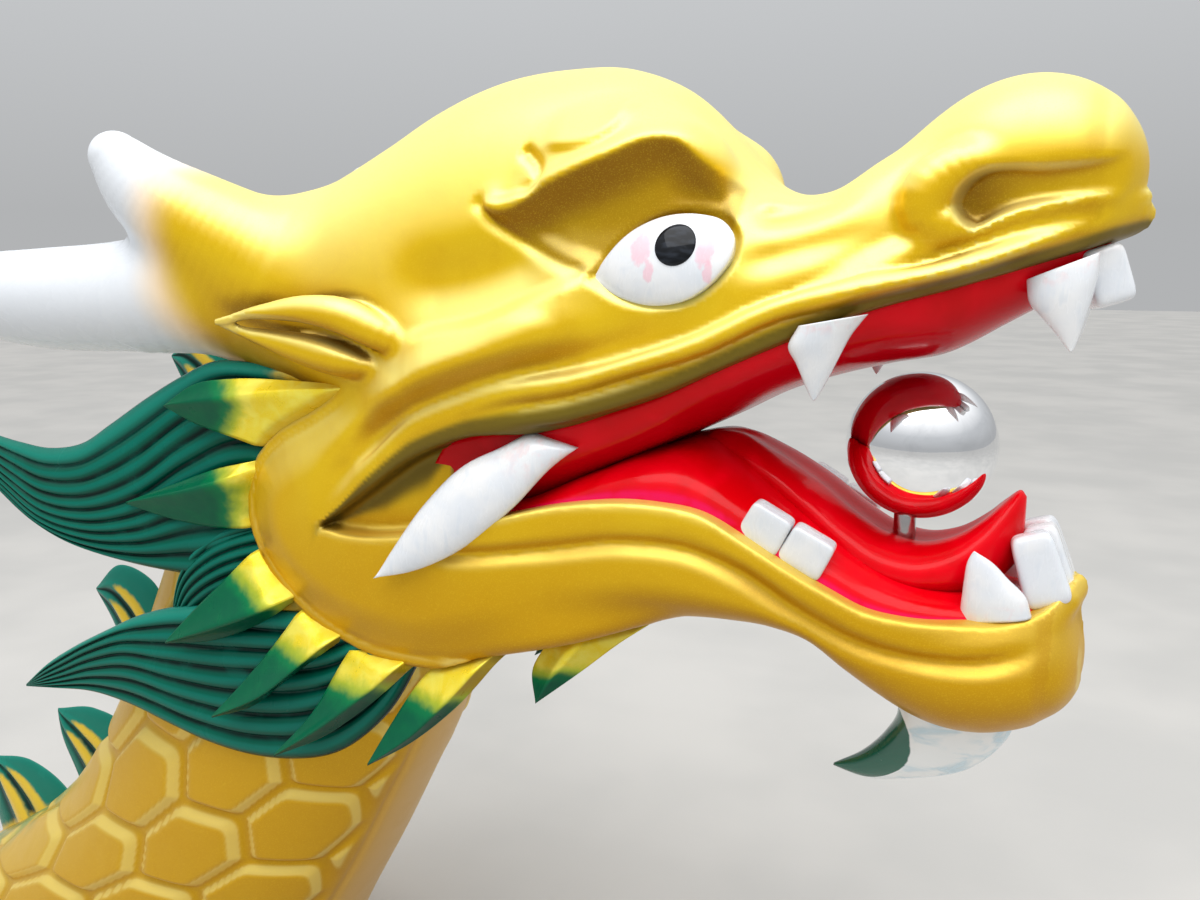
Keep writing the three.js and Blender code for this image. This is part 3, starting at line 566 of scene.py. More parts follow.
# Strokes over the head's sides. Ridges and grooves: height, width, how much of the start and
# end fades, then the points x, z
HEAD_RIDGES = [
    # hollow between the cheek's roll and the lip's crest, and the cheek's roll
    (-8, 10, 0.1, 0.6, [(-394, -26), (-376, -6), (-336, 19), (-289, 39), (-243, 53), (-200, 63),
                        (-150, 79), (-90, 106)]),
    (13, 22, 0.25, 0.35, [(-386, 14), (-338, 31), (-312, 45), (-268, 61), (-222, 78),
                          (-180, 90)]),
    # roll along the brow's edge, from its tip over the eye to the bridge
    (7, 8, 0.08, 0.25, [(-290, 167), (-268, 161), (-231, 176), (-189, 192), (-159, 203),
                        (-146, 202), (-129, 188), (-109, 172)]),
    # crease from the brow's tip down to the eye
    (-4, 5, 0.08, 0.12, [(-290, 169), (-274, 150), (-252, 136), (-223, 122), (-199, 115)]),
    # temple hollow
    (-10, 24, 0.3, 0.3, [(-362, 96), (-330, 104), (-285, 112), (-240, 128), (-214, 138)]),
    # groove inside the brow's hook
    (-4.5, 4.6, 0.15, 0.25, [(-261, 200), (-250, 193), (-242, 185), (-241, 177), (-248, 171),
                             (-258, 169)]),
    (-1.6, 4, 0.3, 0.2, [(-243, 176), (-257, 170), (-272, 168), (-288, 168)]),
    # furrows where the bridge runs back to the eye
    (-4, 6, 0.2, 0.5, [(-104, 150), (-80, 152), (-50, 160), (-20, 172)]),
    (3, 7, 0.2, 0.5, [(-104, 163), (-80, 166), (-50, 176)]),
    (-4, 9, 0.3, 0.5, [(-112, 118), (-86, 124), (-50, 134), (-16, 146)]),
    # crisp upper edge of the band under the nostril, hollow below it and the crest's edge
    (2.2, 6.5, 0.15, 0.1, [(30, 139), (38, 146), (50, 152), (78, 157), (100, 159), (120, 162)]),
    (-4, 7, 0.3, 0.15, [(-30, 114), (0, 122), (35, 133), (80, 148), (118, 158)]),
    (3, 4.5, 0.3, 0.1, [(-70, 92), (-28, 105), (35, 120), (80, 138), (122, 152)]),
    # nostril's deepest part over the band, and the edge of its wing
    (-8, 9, 0.1, 0.3, [(28, 150), (44, 159), (70, 165), (100, 169), (120, 172)]),
    # groove under the lower lip's roll
    (-6, 6, 0.05, 0.1, [(-322, -86), (-285, -83), (-234, -76), (-174, -66), (-128, -68), (-96, -80),
                        (-60, -102), (-20, -120), (30, -126), (70, -120), (96, -108)]),
]
# Raised plates: height, softness of the edge, fade, how much of the edge's start and end
# fades, the edge's points x, z, and the points that close the outline
HEAD_PLATES = [
    # dome's lower edge, ending in the brow's swirl
    (3.6, 5.0, 15, 0.2, 0.15,
     [(-246, 200), (-238, 199), (-227, 198), (-212, 198), (-196, 203), (-187, 211), (-184, 222),
      (-187, 236)],
     [(-205, 270), (-275, 270), (-290, 230)]),
    # cheekbone from the eye's outer corner to the ear
    (5, 6.5, 42, 0.16, 0.2,
     [(-192, 113), (-215, 109), (-243, 98), (-281, 82), (-317, 76), (-348, 66)],
     [(-366, -10), (-180, 20)]),
]
# Hood over the eye: the brow's edge, then the line back round the eye and along the crease.
# The surface sinks from the first line by this depth over this distance.
BROW_EDGE = [(-291, 168), (-267, 160), (-231, 176), (-189, 192), (-159, 203), (-146, 202),
             (-129, 188), (-107, 171)]
BROW_FOOT = [(-104, 154), (-110, 136), (-120, 114), (-136, 104), (-156, 100), (-178, 104),
             (-202, 112), (-225, 119), (-254, 133), (-276, 148)]
HOOD_DEPTH, HOOD_REACH = 9.0, 30.0
# Outline of the nostril's hollow in the side view, and its depth
NOSTRIL = [
    (33, 141), (26, 147), (22, 156), (26, 167), (36, 175), (52, 177), (66, 176), (82, 177),
    (102, 180), (122, 187), (126, 170), (120, 163), (100, 161), (78, 158), (50, 152),
]
NOSTRIL_DEPTH = 11.0


def draw_head_relief(x, z):
    relief = np.zeros(np.broadcast(x, z).shape)
    for height, width, start, end, points in HEAD_RIDGES:
        relief += ridge(x, z, points, height, width, start, end)
    for height, edge, fade, start, end, points, closing in HEAD_PLATES:
        relief += plate(x, z, points, closing, height, edge, fade, start, end)
    return relief - HOOD_DEPTH * hood_share(x, z) - NOSTRIL_DEPTH * nostril_share(x, z)


def hood_place(x, z):
    """Distances from the brow's edge, and from the nearest border of the hood's hollow."""
    edge = smooth_path(BROW_EDGE, 40)
    return near_path(x, z, edge)[0], -outline_distance(x, z, edge.tolist() + BROW_FOOT)


def hood_share(x, z):
    """1 where the hollow under the brow is deepest, 0 outside."""
    down, inside = hood_place(x, z)
    return smoothstep(0, HOOD_REACH, down) * smoothstep(0, 20, inside)


def hood_shade(x, z):
    """How far the hollow under the brow is darkened: most close under the brow's edge."""
    down, inside = hood_place(x, z)
    near = smoothstep(36, 8, down) * smoothstep(-105, -150, x)
    return smoothstep(0, 5, inside) * (0.6 + 0.4 * near)


def round_outline(corners, count):
    """A closed smooth outline through corners, as count points."""
    return smooth_path(corners + corners[:1], count + 1)[:-1]


def nostril_share(x, z, start=2, soft=7):
    """1 well inside the nostril's hollow, 0 outside."""
    hollow = outline_distance(x, z, round_outline(NOSTRIL, 59).tolist())
    return smoothstep(start, start - soft, hollow)


HEAD_LOW, HEAD_HIGH = (-880, 0, -212), (140, 208, 282)
SIDE_LOW, SIDE_HIGH = (-890, -222), (150, 292)
head_relief = SideMap(SIDE_LOW, SIDE_HIGH, draw_head_relief)
nostril_map = SideMap(SIDE_LOW, SIDE_HIGH, nostril_share)
shade_map = SideMap(SIDE_LOW, SIDE_HIGH, lambda x, z: np.maximum(
    nostril_share(x, z, 3, 4) * (0.3 + 0.45 * smoothstep(72, 30, x)), hood_shade(x, z)))
ear_relief = SideMap(SIDE_LOW, SIDE_HIGH, lambda x, z: ridge(x, z, EAR_GROOVE, -7, 4.5, 0.2, 0.1))
cheek_map = SideMap(SIDE_LOW, SIDE_HIGH, lambda x, z: outline_distance(
    x, z, round_outline(CHEEK, 59).tolist()))
eye_map = SideMap(SIDE_LOW, SIDE_HIGH, lambda x, z: outline_distance(
    x, z, round_outline(EYE, 47).tolist()))


def upper_head(x, y, z):
    skull = true_distance(skull_section, x, y, z)
    skull = soft_meet(soft_meet(skull, -596 - x, 20), x - 108, 24)
    low = table_curve(x, SKULL)[4]
    back_edge = smoothstep(-360, -400, x)
    skull = soft_meet(skull, (low - z) * back_edge - 60 * (1 - back_edge), 16)
    skull = soft_union(skull, egg(x, y, z, *NOSE), 20)
    skull = soft_union(skull, egg(x, y, z, *BROW), 18)
    skull = soft_union(skull, tube(x, y, z, NOSE_WING, 16), 9)
    crest = [(px, py - CREST_ROLL, pz, CREST_ROLL) for px, pz, py in UPPER_CREST]
    roll = [(px, py - UNDER_ROLL - 3 - 7 * smoothstep(-230, -90, px),
             table_curve(px, UPPER_LIP)[0] * 0.62 + pz * 0.38, UNDER_ROLL)
            for px, pz, py in UPPER_CREST[2:]]
    lip = soft_union(tube(x, y, z, crest, 40), tube(x, y, z, roll, 40), 9)
    skull = soft_union(skull, lip, 8)
    skull = soft_union(skull, tube(x, y, z, SNOUT_STRIP, 14), 10)
    return soft_union(skull, tube(x, y, z, NOSE_BAND, 16), 6)


def lower_head(x, y, z):
    jaw = true_distance(jaw_section, x, y, z)
    jaw = soft_meet(soft_meet(jaw, -498 - x, 8), x - 107, 30)
    jaw = soft_union(jaw, egg(x, y, z, *CHIN), 20)
    roll = [(px, py - LIP_ROLL + 5, pz - LIP_ROLL, LIP_ROLL) for px, pz, py in LOWER_LIP[2:]]
    return soft_union(jaw, tube(x, y, z, roll, 26), 7)


def ear_form(x, y, z):
    rim, lobe = tube(x, y, z, EAR_RIM, 24), tube(x, y, z, EAR_LOBE, 20)
    return soft_union(rim, lobe, 3) - ear_relief(x, z)


def horn_form(x, y, z):
    return soft_union(tube(x, y, z, HORN_BRANCH, 30), tube(x, y, z, HORN_PRONG, 20), 20)


def face_field(x, y, z):
    """The head without eyes, ears and horns."""
    upper_edge = table_curve(x, UPPER_LIP)[0]
    lower_edge = table_curve(x, LOWER_LIP)[0]
    upper = soft_meet(upper_head(x, y, z), upper_edge - z, 4.5)
    lower = soft_meet(lower_head(x, y, z), z - lower_edge, 3)
    head = soft_union(upper, lower, 5)
    cheek_line = cheek_map(x, z)
    over_lip = z - upper_edge
    dip = smoothstep(60, 26, over_lip) * smoothstep(-8, 0, over_lip) * smoothstep(-432, -392, x)
    rim = table_curve(x, CHEEK_DOME)[0]
    dome = rim + 12 * smoothstep(0, -46, cheek_line) * smoothstep(-215, -300, x) - 9 * dip
    cheek = soft_meet(soft_meet(cheek_line, y - dome, 16), 70 - y, 4)
    head = soft_union(head, cheek, 10)
    flange = np.sqrt((cheek_line + 2) ** 2 + (y - rim + 5) ** 2) - FLANGE_ROLL
    head = soft_union(head, flange + 12 * smoothstep(-330, -250, x), 4)
    gap = np.maximum(np.maximum(z - upper_edge, lower_edge - z), MOUTH_CORNER - x)
    gap = soft_meet(gap, np.interp(x, *np.transpose(CORNER_WALL)) - y, 7)
    head = soft_meet(head, -gap, 4)
    return head - head_relief(x, z) * smoothstep(30, 70, y)


def head_field(x, y, z):
    head = face_field(x, y, z) + EYE_DENT * smoothstep(5, -4, eye_map(x, z)) * smoothstep(60, 80, y)
    head = soft_union(head, ear_form(x, y, z), 5)
    return soft_union(head, horn_form(x, y, z), 26)


HEAD_STEP = 3.2
head_points, head_quads = grow_mesh(head_field, HEAD_LOW, HEAD_HIGH, HEAD_STEP)


# Where the horns' own pieces start
HORN_ROOT = -505
# How far off the surface the paint looks for hollows, which get painted shade, and for edges, which
# get a painted highlight
RECESS_REACH = 9.0
HOLLOW_REACH = 26.0
EDGE_REACH = 5.0


def depth_under(points, slope, reach):
    """The head's field a little way out from points on its surface, or in where reach < 0."""
    x, y, z = (points + reach * slope).T
    return head_field(x, np.abs(y), z)


def horn_whiteness(x, y, z):
    """How far the horns' white paint has faded in over the gold, 0 to 1."""
    on_horn = smoothstep(24, 8, horn_form(x, np.abs(y), z))
    front = x + 12 * np.cos((z - 118) / 40) - 6
    return smoothstep(-516, -596, front) * on_horn


def lip_face(x, z):
    """Where the upper lip's face between its edge and its crest gets painted shade, 0 to 1."""
    edge = table_curve(x, UPPER_LIP)[0]
    crest = np.interp(x, [row[0] for row in UPPER_CREST], [row[1] for row in UPPER_CREST])
    up = (z - edge) / np.maximum(crest - edge, 4)
    drop = 1.1 * smoothstep(-310, -345, x)
    return (smoothstep(0.75, 0.35, up) * smoothstep(-0.5 - drop, -0.2 - 0.3 * drop, up)
            * smoothstep(-436, -410, x))


def split_head(points, quads):
    """The moulded head's quads sorted into skull, jaw and the two horns."""
    middle = points[quads].mean(axis=1)
    x, y, z = middle[:, 0], np.abs(middle[:, 1]), middle[:, 2]
    on_horn = (horn_form(x, y, z) < 4) & (x < HORN_ROOT) & (z > 40 + 0.1 * (x - HORN_ROOT))
    on_jaw = ~on_horn & (z < np.where(x > MOUTH_CORNER, -40 + 0.35 * (x + 60), -90))
    on_jaw &= (x < -100) | (z < 20)
    sort = {"horn_right": on_horn & (middle[:, 1] < 0), "horn_left": on_horn & (middle[:, 1] > 0),
            "jaw": on_jaw, "skull": ~on_horn & ~on_jaw}
    slope = (field_slope(head_field, points, 2.4)[1]
             + field_slope(head_field, points, -2.4)[1]) / 2
    steep = np.maximum(np.linalg.norm(slope, axis=1), 0.2)
    slope /= np.maximum(np.linalg.norm(slope, axis=1, keepdims=True), 1e-9)
    recess = 1 - depth_under(points, slope, RECESS_REACH) / steep / RECESS_REACH
    nostril = nostril_map(points[:, 0], points[:, 2])
    values = {
        # painted shade in creases, deeper towards the nostril's back end
        "recess": recess + 0.3 * nostril * smoothstep(70, 30, points[:, 0]),
        # painted highlight along edges
        "edge": 1 + depth_under(points, slope, -EDGE_REACH) / steep / EDGE_REACH,
        # painted shade in broad hollows
        "hollow": 1 - depth_under(points, slope, HOLLOW_REACH) / steep / HOLLOW_REACH,
        "shade": shade_map(points[:, 0], points[:, 2]) * smoothstep(30, 50, np.abs(points[:, 1])),
        # painted highlight where the surface faces up, painted shade where it faces down
        "lift": slope[:, 2],
        "droop": -slope[:, 2],
        # painted shade on the upper lip's downward face
        "lip_shade": lip_face(points[:, 0], points[:, 2]),
        "white": horn_whiteness(*points.T),
    }
    pieces = {}
    for name, chosen in sort.items():
        used, faces = np.unique(quads[chosen], return_inverse=True)
        piece = new_mesh(f"{name}_shell", points[used], faces.reshape(-1, 4))
        piece.data.normals_split_custom_set_from_vertices(slope[used].tolist())
        give_values(piece, {label: value[used] for label, value in values.items()})
        pieces[name] = piece
    return pieces


head_pieces = split_head(head_points, head_quads)


# Eyes: almond domes in the sockets, with a black pupil

EYE_CENTRE, EYE_RADII, EYE_BULGE = (-148, 125), (50, 30), 10.0
# y of the eyeball's hidden back
EYE_BACK = -88.0
# Pupil: x, z, radius
PUPIL = (-141, 133.5, 13.2)


def surface_out(px, pz):
    """Distance of the face's surface from the middle plane, looking in from the side."""
    reach = np.linspace(135, 75, 121)
    inside = face_field(*np.broadcast_arrays(px[:, None], reach, pz[:, None])) < 0
    return reach[inside.argmax(axis=1)]


eye_outline = round_outline(EYE, 96)
eye_fit = np.column_stack([np.ones(len(eye_outline)), eye_outline])
eye_plane = np.linalg.lstsq(eye_fit, surface_out(*eye_outline.T), rcond=None)[0]


def eye_surface(px, pz):
    """Distance of the eyeball's surface from the middle plane."""
    e = ((px - EYE_CENTRE[0]) / EYE_RADII[0]) ** 2 + ((pz - EYE_CENTRE[1]) / EYE_RADII[1]) ** 2
    rim = eye_plane[0] + eye_plane[1] * px + eye_plane[2] * pz
    return rim + EYE_BULGE * np.maximum(1 - e, 0) ** 0.8


def eye_shape():
    rings = 16
    centre = eye_outline.mean(axis=0)
    loops = [np.insert(eye_outline, 1, EYE_BACK, axis=1)]
    for size in [1.0, 1.0] + [1 - i / rings for i in range(1, rings)]:
        px, pz = (centre + (eye_outline - centre) * size).T
        loops.append(np.stack([px, -eye_surface(px, pz), pz], 1))
    loops[1] = loops[1] + (0, 1.0, 0)
    middle = loops[2].mean(axis=0)
    loops[2] = middle + (loops[2] - middle) * 0.985
    return skin(loops)


def pupil_shape():
    """A flat dome on the eyeball: shares of the radius, and heights over the white."""
    rings = []
    c, s = superellipse(48, 2)
    for size, lift in [(1.0, -3), (1.0, 0.2), (0.97, 0.7), (0.8, 1.2), (0.5, 1.7), (0.2, 1.9)]:
        px, pz = PUPIL[0] + PUPIL[2] * size * c, PUPIL[1] + PUPIL[2] * size * s
        rings.append(np.stack([px, -(eye_surface(px, pz) + lift), pz], 1))
    return skin(rings)


# Mouth: red roof and floor, and the tongue

# Sections of both slabs: x, height of the middle, half width, squareness
PALATE = [
    (-318, -60, 105, 8), (-300, -60, 104, 8), (-279, -57, 102, 7), (-214, -27, 98, 6),
    (-159, 0, 95, 5), (-134, 12, 91, 3.4), (-95, 32, 85, 2.6), (-57, 46, 79, 2.3),
    (-20, 56, 71, 2.2), (15, 64, 61, 2.2), (50, 84, 48, 2.2), (90, 110, 27, 2.2),
    (106, 124, 12, 2.2),
]
MOUTH_FLOOR = [
    (-318, -62, 103, 8), (-300, -56, 104, 8), (-279, -52, 102, 7), (-214, -24, 99, 6),
    (-175, -8, 95, 5), (-145, -3, 91, 4), (-115, -15, 87, 3), (-80, -36, 82, 2.7),
    (-45, -57, 76, 2.5), (-10, -76, 70, 2.3), (25, -86, 61, 2.2), (55, -90, 48, 2.2),
    (84, -90, 27, 2.2), (94, -86, 10, 2.2),
]
# Tongue: x and z of its top along the middle, half width, thickness, lean of the section
TONGUE = [
    (-150, 1, 20, 26, 0.0), (-128, 2, 28, 30, 0.1), (-100, -9, 38, 34, 0.2), (-67, -28, 45, 38, 0.2),
    (-40, -47, 48, 38, 0.1), (-18, -59, 49, 36, 0.0), (4, -63, 48, 36, 0.0), (26, -57, 43, 42, 0.0),
    (44, -44, 35, 50, 0.0), (57, -31, 25, 54, 0.0), (65, -25, 14, 50, 0.0), (69, -29, 6, 40, 0.0),
]
# Groove along the tongue's middle
GROOVE_DEPTH, GROOVE_WIDTH = 3.5, 9.0
# How far the red's rear end leans back for each millimetre below the lip's edge
CORNER_SLANT = 0.7


def mouth_slab(table, lip, lift, pink):
    """A closed slab with an arched face, running into the head behind the lip's edge."""
    table = np.asarray(table, float)
    rings, rim = [], []
    top_turn = np.linspace(-math.pi / 2, math.pi / 2, 56)
    back_turn = np.linspace(-math.pi / 2, math.pi / 2, 14)
    for x in np.linspace(table[0, 0], table[-1, 0], 110):
        peak, half, power = table_curve(x, table)
        edge = table_curve(x, lip)[0] + lift
        y = half * np.sin(top_turn)
        share = np.clip(np.abs(y) / half, 0, 1)
        face = edge + (peak - edge) * (1 - share ** power) ** (1 / 2.2)
        back = edge + 4 * lift * np.cos(back_turn)[1:-1]
        ring = [(x, py, pz) for py, pz in zip(y, face)]
        ring += [(x, -py, pz) for py, pz in zip(np.linspace(-half, half, len(back_turn))[1:-1], back)]
        ring = np.array(ring)
        ring[:, 0] -= CORNER_SLANT * smoothstep(-270, -318, x) * np.maximum(edge - ring[:, 2], 0)
        rings.append(ring)
        rim.append(pink * np.r_[smoothstep(0.982, 0.996, share), np.ones(len(back))])
    return skin(rings, rim=rim)


def tongue_shape():
    c, s = superellipse(64, 2.3)
    rings = []
    for x, z, half, thick, lean in smooth_path(TONGUE, 70):
        groove = (GROOVE_DEPTH * np.exp(-(c * half / GROOVE_WIDTH) ** 2)
                  * smoothstep(12, 45, half))
        height = np.where(s > 0, s * thick * 0.5 - groove * s, s * thick * 0.5)
        up = height - thick * 0.5
        rings.append(np.stack([x - up * math.sin(lean), c * half, z + up * math.cos(lean)], 1))
    return skin(rings)


# Teeth. Each is drawn in the side view by its two edges from root to tip: x, z.
# name: root y, tip y, half depth, squareness, back edge, front edge
TEETH = {
    "upper_canine": (
        -38, -48, 12, 2.4,
        [(62, 112), (65, 98), (73, 89), (82, 79), (88, 70)],
        [(101, 128), (101, 116), (99, 102), (95, 84), (92, 70)],
    ),
    "upper_tooth": (
        -92, -92, 10, 2.4,
        [(-62, 84), (-68, 70), (-63, 61), (-58, 50), (-53, 38)],
        [(-20, 92), (-29, 80), (-37, 64), (-43, 51), (-49, 38)],
    ),
    "rear_fang": (
        -98, -143, 13, 2.0,
        [(-250, 6), (-266, -4), (-294, -19), (-322, -48), (-345, -81), (-361, -105)],
        [(-214, -4), (-227, -15), (-255, -47), (-302, -85), (-335, -100), (-359, -106)],
    ),
    "lower_canine": (
        -46, -50, 10, 2.4,
        [(37, -104), (38, -88), (39, -74), (40, -64), (42, -57)],
        [(80, -96), (76, -84), (65, -73), (55, -63), (46, -57)],
    ),
}


def blade(root_y, tip_y, depth, power, back, front):
    """A tooth between two edges of the side view."""
    steps, around = 40, 36
    back, front = smooth_path(back, steps), smooth_path(front, steps)
    c, s = superellipse(around, power)
    wide = np.linalg.norm(front - back, axis=1)
    wide = wide / wide[:steps // 3].max()
    rings = []
    for i in range(steps):
        share = i / (steps - 1)
        middle, reach = (back[i] + front[i]) / 2, (front[i] - back[i]) / 2
        size = max(min(1, wide[i]) ** 0.8 * math.sqrt(max(1 - share ** 6, 0.03)), 0.08)
        reach = reach * math.sqrt(max(1 - share ** 14, 0.02))
        y = root_y + (tip_y - root_y) * share ** 0.7 + depth * size * s
        rings.append(np.stack([middle[0] + reach[0] * c, y, middle[1] + reach[1] * c], 1))
    return skin(rings, gum=smoothstep(0.24, 0.08, np.linspace(0, 1, steps)))


def rounded_box(centre, half, pitch, taper, yaw, root=-1, power=6.0):
    """A block with soft edges; taper narrows its top, and the gum is at the root's end."""
    rings = []
    around = 48
    levels = np.linspace(-1, 1, 26)
    c, s = superellipse(around, power)
    for share in levels:
        lift = math.copysign(abs(math.sin(share * math.pi / 2)) ** 0.7, share)
        size = max((1 - abs(lift) ** power), 0.0) ** (1 / power)
        size = max(size, 0.04) * (1 - taper * (lift + 1) / 2)
        rings.append(np.stack([half[0] * size * c, half[1] * size * s,
                               np.full(around, half[2] * lift)], 1))
    rings = np.array(rings)
    x, y, z = rings[..., 0], rings[..., 1], rings[..., 2]
    x, y = x * math.cos(yaw) - y * math.sin(yaw), x * math.sin(yaw) + y * math.cos(yaw)
    x, z = x * math.cos(pitch) + z * math.sin(pitch), z * math.cos(pitch) - x * math.sin(pitch)
    gum = smoothstep(0.35, 0.95, root * levels)
    return skin(np.stack([x + centre[0], y + centre[1], z + centre[2]], -1), gum=gum)


# Blocks by node: rows of centre, half sizes, pitch, taper and yaw, then the root's end (1 is
# the top) and the squareness where they aren't the usual ones
TOOTH_BLOCKS = {
    "upper_incisors": [((104, -14, 114), (12.5, 12, 18), -0.32, 0.0, 0.35, 1),
                       ((104, 14, 114), (12.5, 12, 18), -0.32, 0.0, -0.35, 1)],
    "lower_incisors": [((81, -22, -71), (15, 11.5, 24), -0.32, 0.15, 0.16),
                       ((85, 0, -70), (13, 11.5, 24), -0.32, 0.15, 0.0),
                       ((81, 22, -71), (15, 11.5, 24), -0.32, 0.15, -0.16)],
}
MOLAR_BLOCKS = [((-84, -75, -50), (15.5, 9, 13.5), 0.48, 0.06, 0.05, -1, 8.0),
                ((-57, -71, -64), (16.0, 9, 13.5), 0.48, 0.06, 0.1, -1, 8.0)]


# How far the spikes' roots turn in under the cheek
ROOT_DIVE = 30.0
# Cheek spikes, tip first: number, green share of the length, how much painted shade the lower face
# gets, root y, tip y, height of the fold, then upper edge, fold and lower edge in the side view
SPIKES = [
    (1, 0.3, 0.15, -112, -142, 11,
     [(-570, 10), (-539, 30), (-505, 35), (-450, 35), (-396, 32)],
     [(-570, 10), (-505, 16), (-455, 22), (-396, 26)],
     [(-570, 9), (-547, -6), (-519, -17), (-486, -29), (-455, -38)]),
    (2, 0.5, 0.2, -112, -144, 12,
     [(-622, -75), (-571, -55), (-540, -43), (-491, -31), (-462, -24)],
     [(-622, -76), (-547, -60), (-496, -44), (-462, -34)],
     [(-622, -77), (-585, -89), (-545, -96), (-503, -96), (-470, -97)]),
    (3, 0.52, 0.75, -112, -146, 13,
     [(-585, -192), (-561, -163), (-531, -131), (-505, -104), (-482, -84)],
     [(-585, -193), (-528, -172), (-505, -163), (-457, -136), (-436, -120)],
     [(-585, -194), (-539, -188), (-487, -164), (-450, -136), (-430, -124)]),
    (4, 0.5, 0.9, -112, -144, 13,
     [(-538, -250), (-508, -214), (-477, -174), (-458, -146), (-446, -130)],
     [(-538, -251), (-490, -226), (-447, -190), (-411, -158), (-392, -142)],
     [(-538, -252), (-500, -238), (-466, -210), (-398, -159), (-380, -146)]),
    (5, 0.46, 0.95, -110, -140, 12,
     [(-474, -272), (-442, -233), (-418, -187), (-405, -165), (-396, -148)],
     [(-474, -273), (-425, -237), (-383, -201), (-344, -161), (-326, -144)],
     [(-474, -274), (-426, -250), (-384, -217), (-330, -166), (-308, -148)]),
    (6, 0.42, 0.95, -102, -130, 11,
     [(-385, -264), (-372, -237), (-350, -198), (-327, -168), (-316, -150)],
     [(-385, -265), (-350, -236), (-314, -195), (-290, -166), (-276, -148)],
     [(-385, -266), (-350, -244), (-311, -210), (-266, -156), (-250, -138)]),
    (7, 0.2, 0.6, -68, -80, 10,
     [(-261, -208), (-267, -185), (-252, -154), (-246, -134)],
     [(-261, -208), (-249, -180), (-232, -150), (-224, -130)],
     [(-261, -209), (-223, -179), (-187, -149), (-160, -130), (-142, -116)]),
]


def run_on(points, length):
    """A path with one more point past its end."""
    last, before = np.array(points[-1], float), np.array(points[-2], float)
    return [*points, tuple(last + (last - before) * length / np.linalg.norm(last - before))]


def spike_shape(green, lower_shade, root_y, tip_y, fold, upper, ridge_line, lower):
    """A leaf folded along a line, its cut edges rounded."""
    steps, across, behind = 60, 14, 6
    upper, middle, lower = [smooth_path(run_on(p, 18), steps)
                            for p in (upper, ridge_line, lower)]
    t = np.linspace(0, 1, across)[:, None]
    t_behind = np.linspace(0, 1, behind)[:, None]
    # the lower face, which gets painted shade
    under = np.r_[np.zeros(across - 1), smoothstep(0, 3, np.arange(across - 1)),
                  np.ones(2 * (behind - 1))]
    rings, paint = [], []
    for i in range(steps):
        share = i / (steps - 1)
        y = tip_y + (root_y - tip_y) * share
        rise = min(1.0, share / 0.45) ** 0.7
        lift = fold * rise
        hollow = 0.16 * fold * rise * np.sin(np.pi * t)
        corners = [np.array([p[0] + ahead * lift, y + d, p[1] + 0.5 * ahead * lift])
                   for p, d, ahead in ((upper[i], 0, 0), (middle[i], -lift, 1),
                                       (lower[i], 0.35 * lift, 0))]
        inner = np.array([middle[i][0], y + 0.9 * lift + 2, middle[i][1]])
        first = corners[0] + (corners[1] - corners[0]) * t + hollow * (0, 1, 0)
        second = corners[1] + (corners[2] - corners[1]) * t + hollow * (0, 1, 0)
        third = corners[2] + (inner - corners[2]) * t_behind
        fourth = inner + (corners[0] - inner) * t_behind
        ring = np.concatenate([first[:-1], second[:-1], third[:-1], fourth[:-1]])
        for _ in range(2):
            ring = (2 * ring + np.roll(ring, 1, 0) + np.roll(ring, -1, 0)) / 4
        ring[:, 1] += ROOT_DIVE * smoothstep(8, -14, cheek_map(ring[:, 0], ring[:, 2]))
        rings.append(ring)
        paint.append(smoothstep(green + 0.14, green - 0.1, share - 0.05 * under))
    return skin(rings, green=paint, under=np.tile(lower_shade * under, (steps, 1)))


# Mane fins: S-curved leaves of long rounded ridges, from the root behind the cheek out to
# the tip. Ridges, half thickness, y of root and tip, then upper, middle and lower guide.
FINS = {
    "upper_fin": (
        9, 9, -97, -152,
        [(-430, 40), (-500, 44), (-550, 43), (-576, 31), (-609, 12), (-644, -11), (-674, -29),
         (-709, -35), (-744, -32), (-790, -26), (-840, -22), (-884, -22)],
        [(-420, -40), (-470, -32), (-517, -30), (-568, -51), (-617, -79), (-668, -92), (-718, -88),
         (-763, -66), (-800, -48), (-845, -32), (-884, -23)],
        [(-430, -120), (-520, -142), (-586, -140), (-625, -136), (-663, -129), (-702, -118),
         (-736, -102), (-782, -74), (-830, -46), (-884, -24)],
    ),
    "upper_lobe": (
        5, 8, -99, -119,
        [(-430, -66), (-500, -80), (-560, -106), (-590, -138), (-600, -162), (-606, -188)],
        [(-430, -103), (-495, -107), (-550, -126), (-582, -150), (-605, -189)],
        [(-430, -140), (-490, -134), (-540, -147), (-575, -168), (-604, -190)],
    ),
    "lower_fin": (
        7, 9, -107, -130,
        [(-370, -138), (-450, -156), (-540, -162), (-605, -172), (-641, -184), (-679, -202),
         (-725, -225), (-768, -250), (-806, -279)],
        [(-356, -156), (-430, -204), (-530, -224), (-600, -226), (-655, -226), (-700, -238),
         (-745, -256), (-806, -280)],
        [(-340, -166), (-382, -232), (-434, -274), (-483, -288), (-518, -291), (-563, -288),
         (-610, -279), (-654, -270), (-706, -267), (-755, -273), (-806, -281)],
    ),
}
# Height of the fins' ridges over the grooves between them
FIN_RELIEF = 5.2


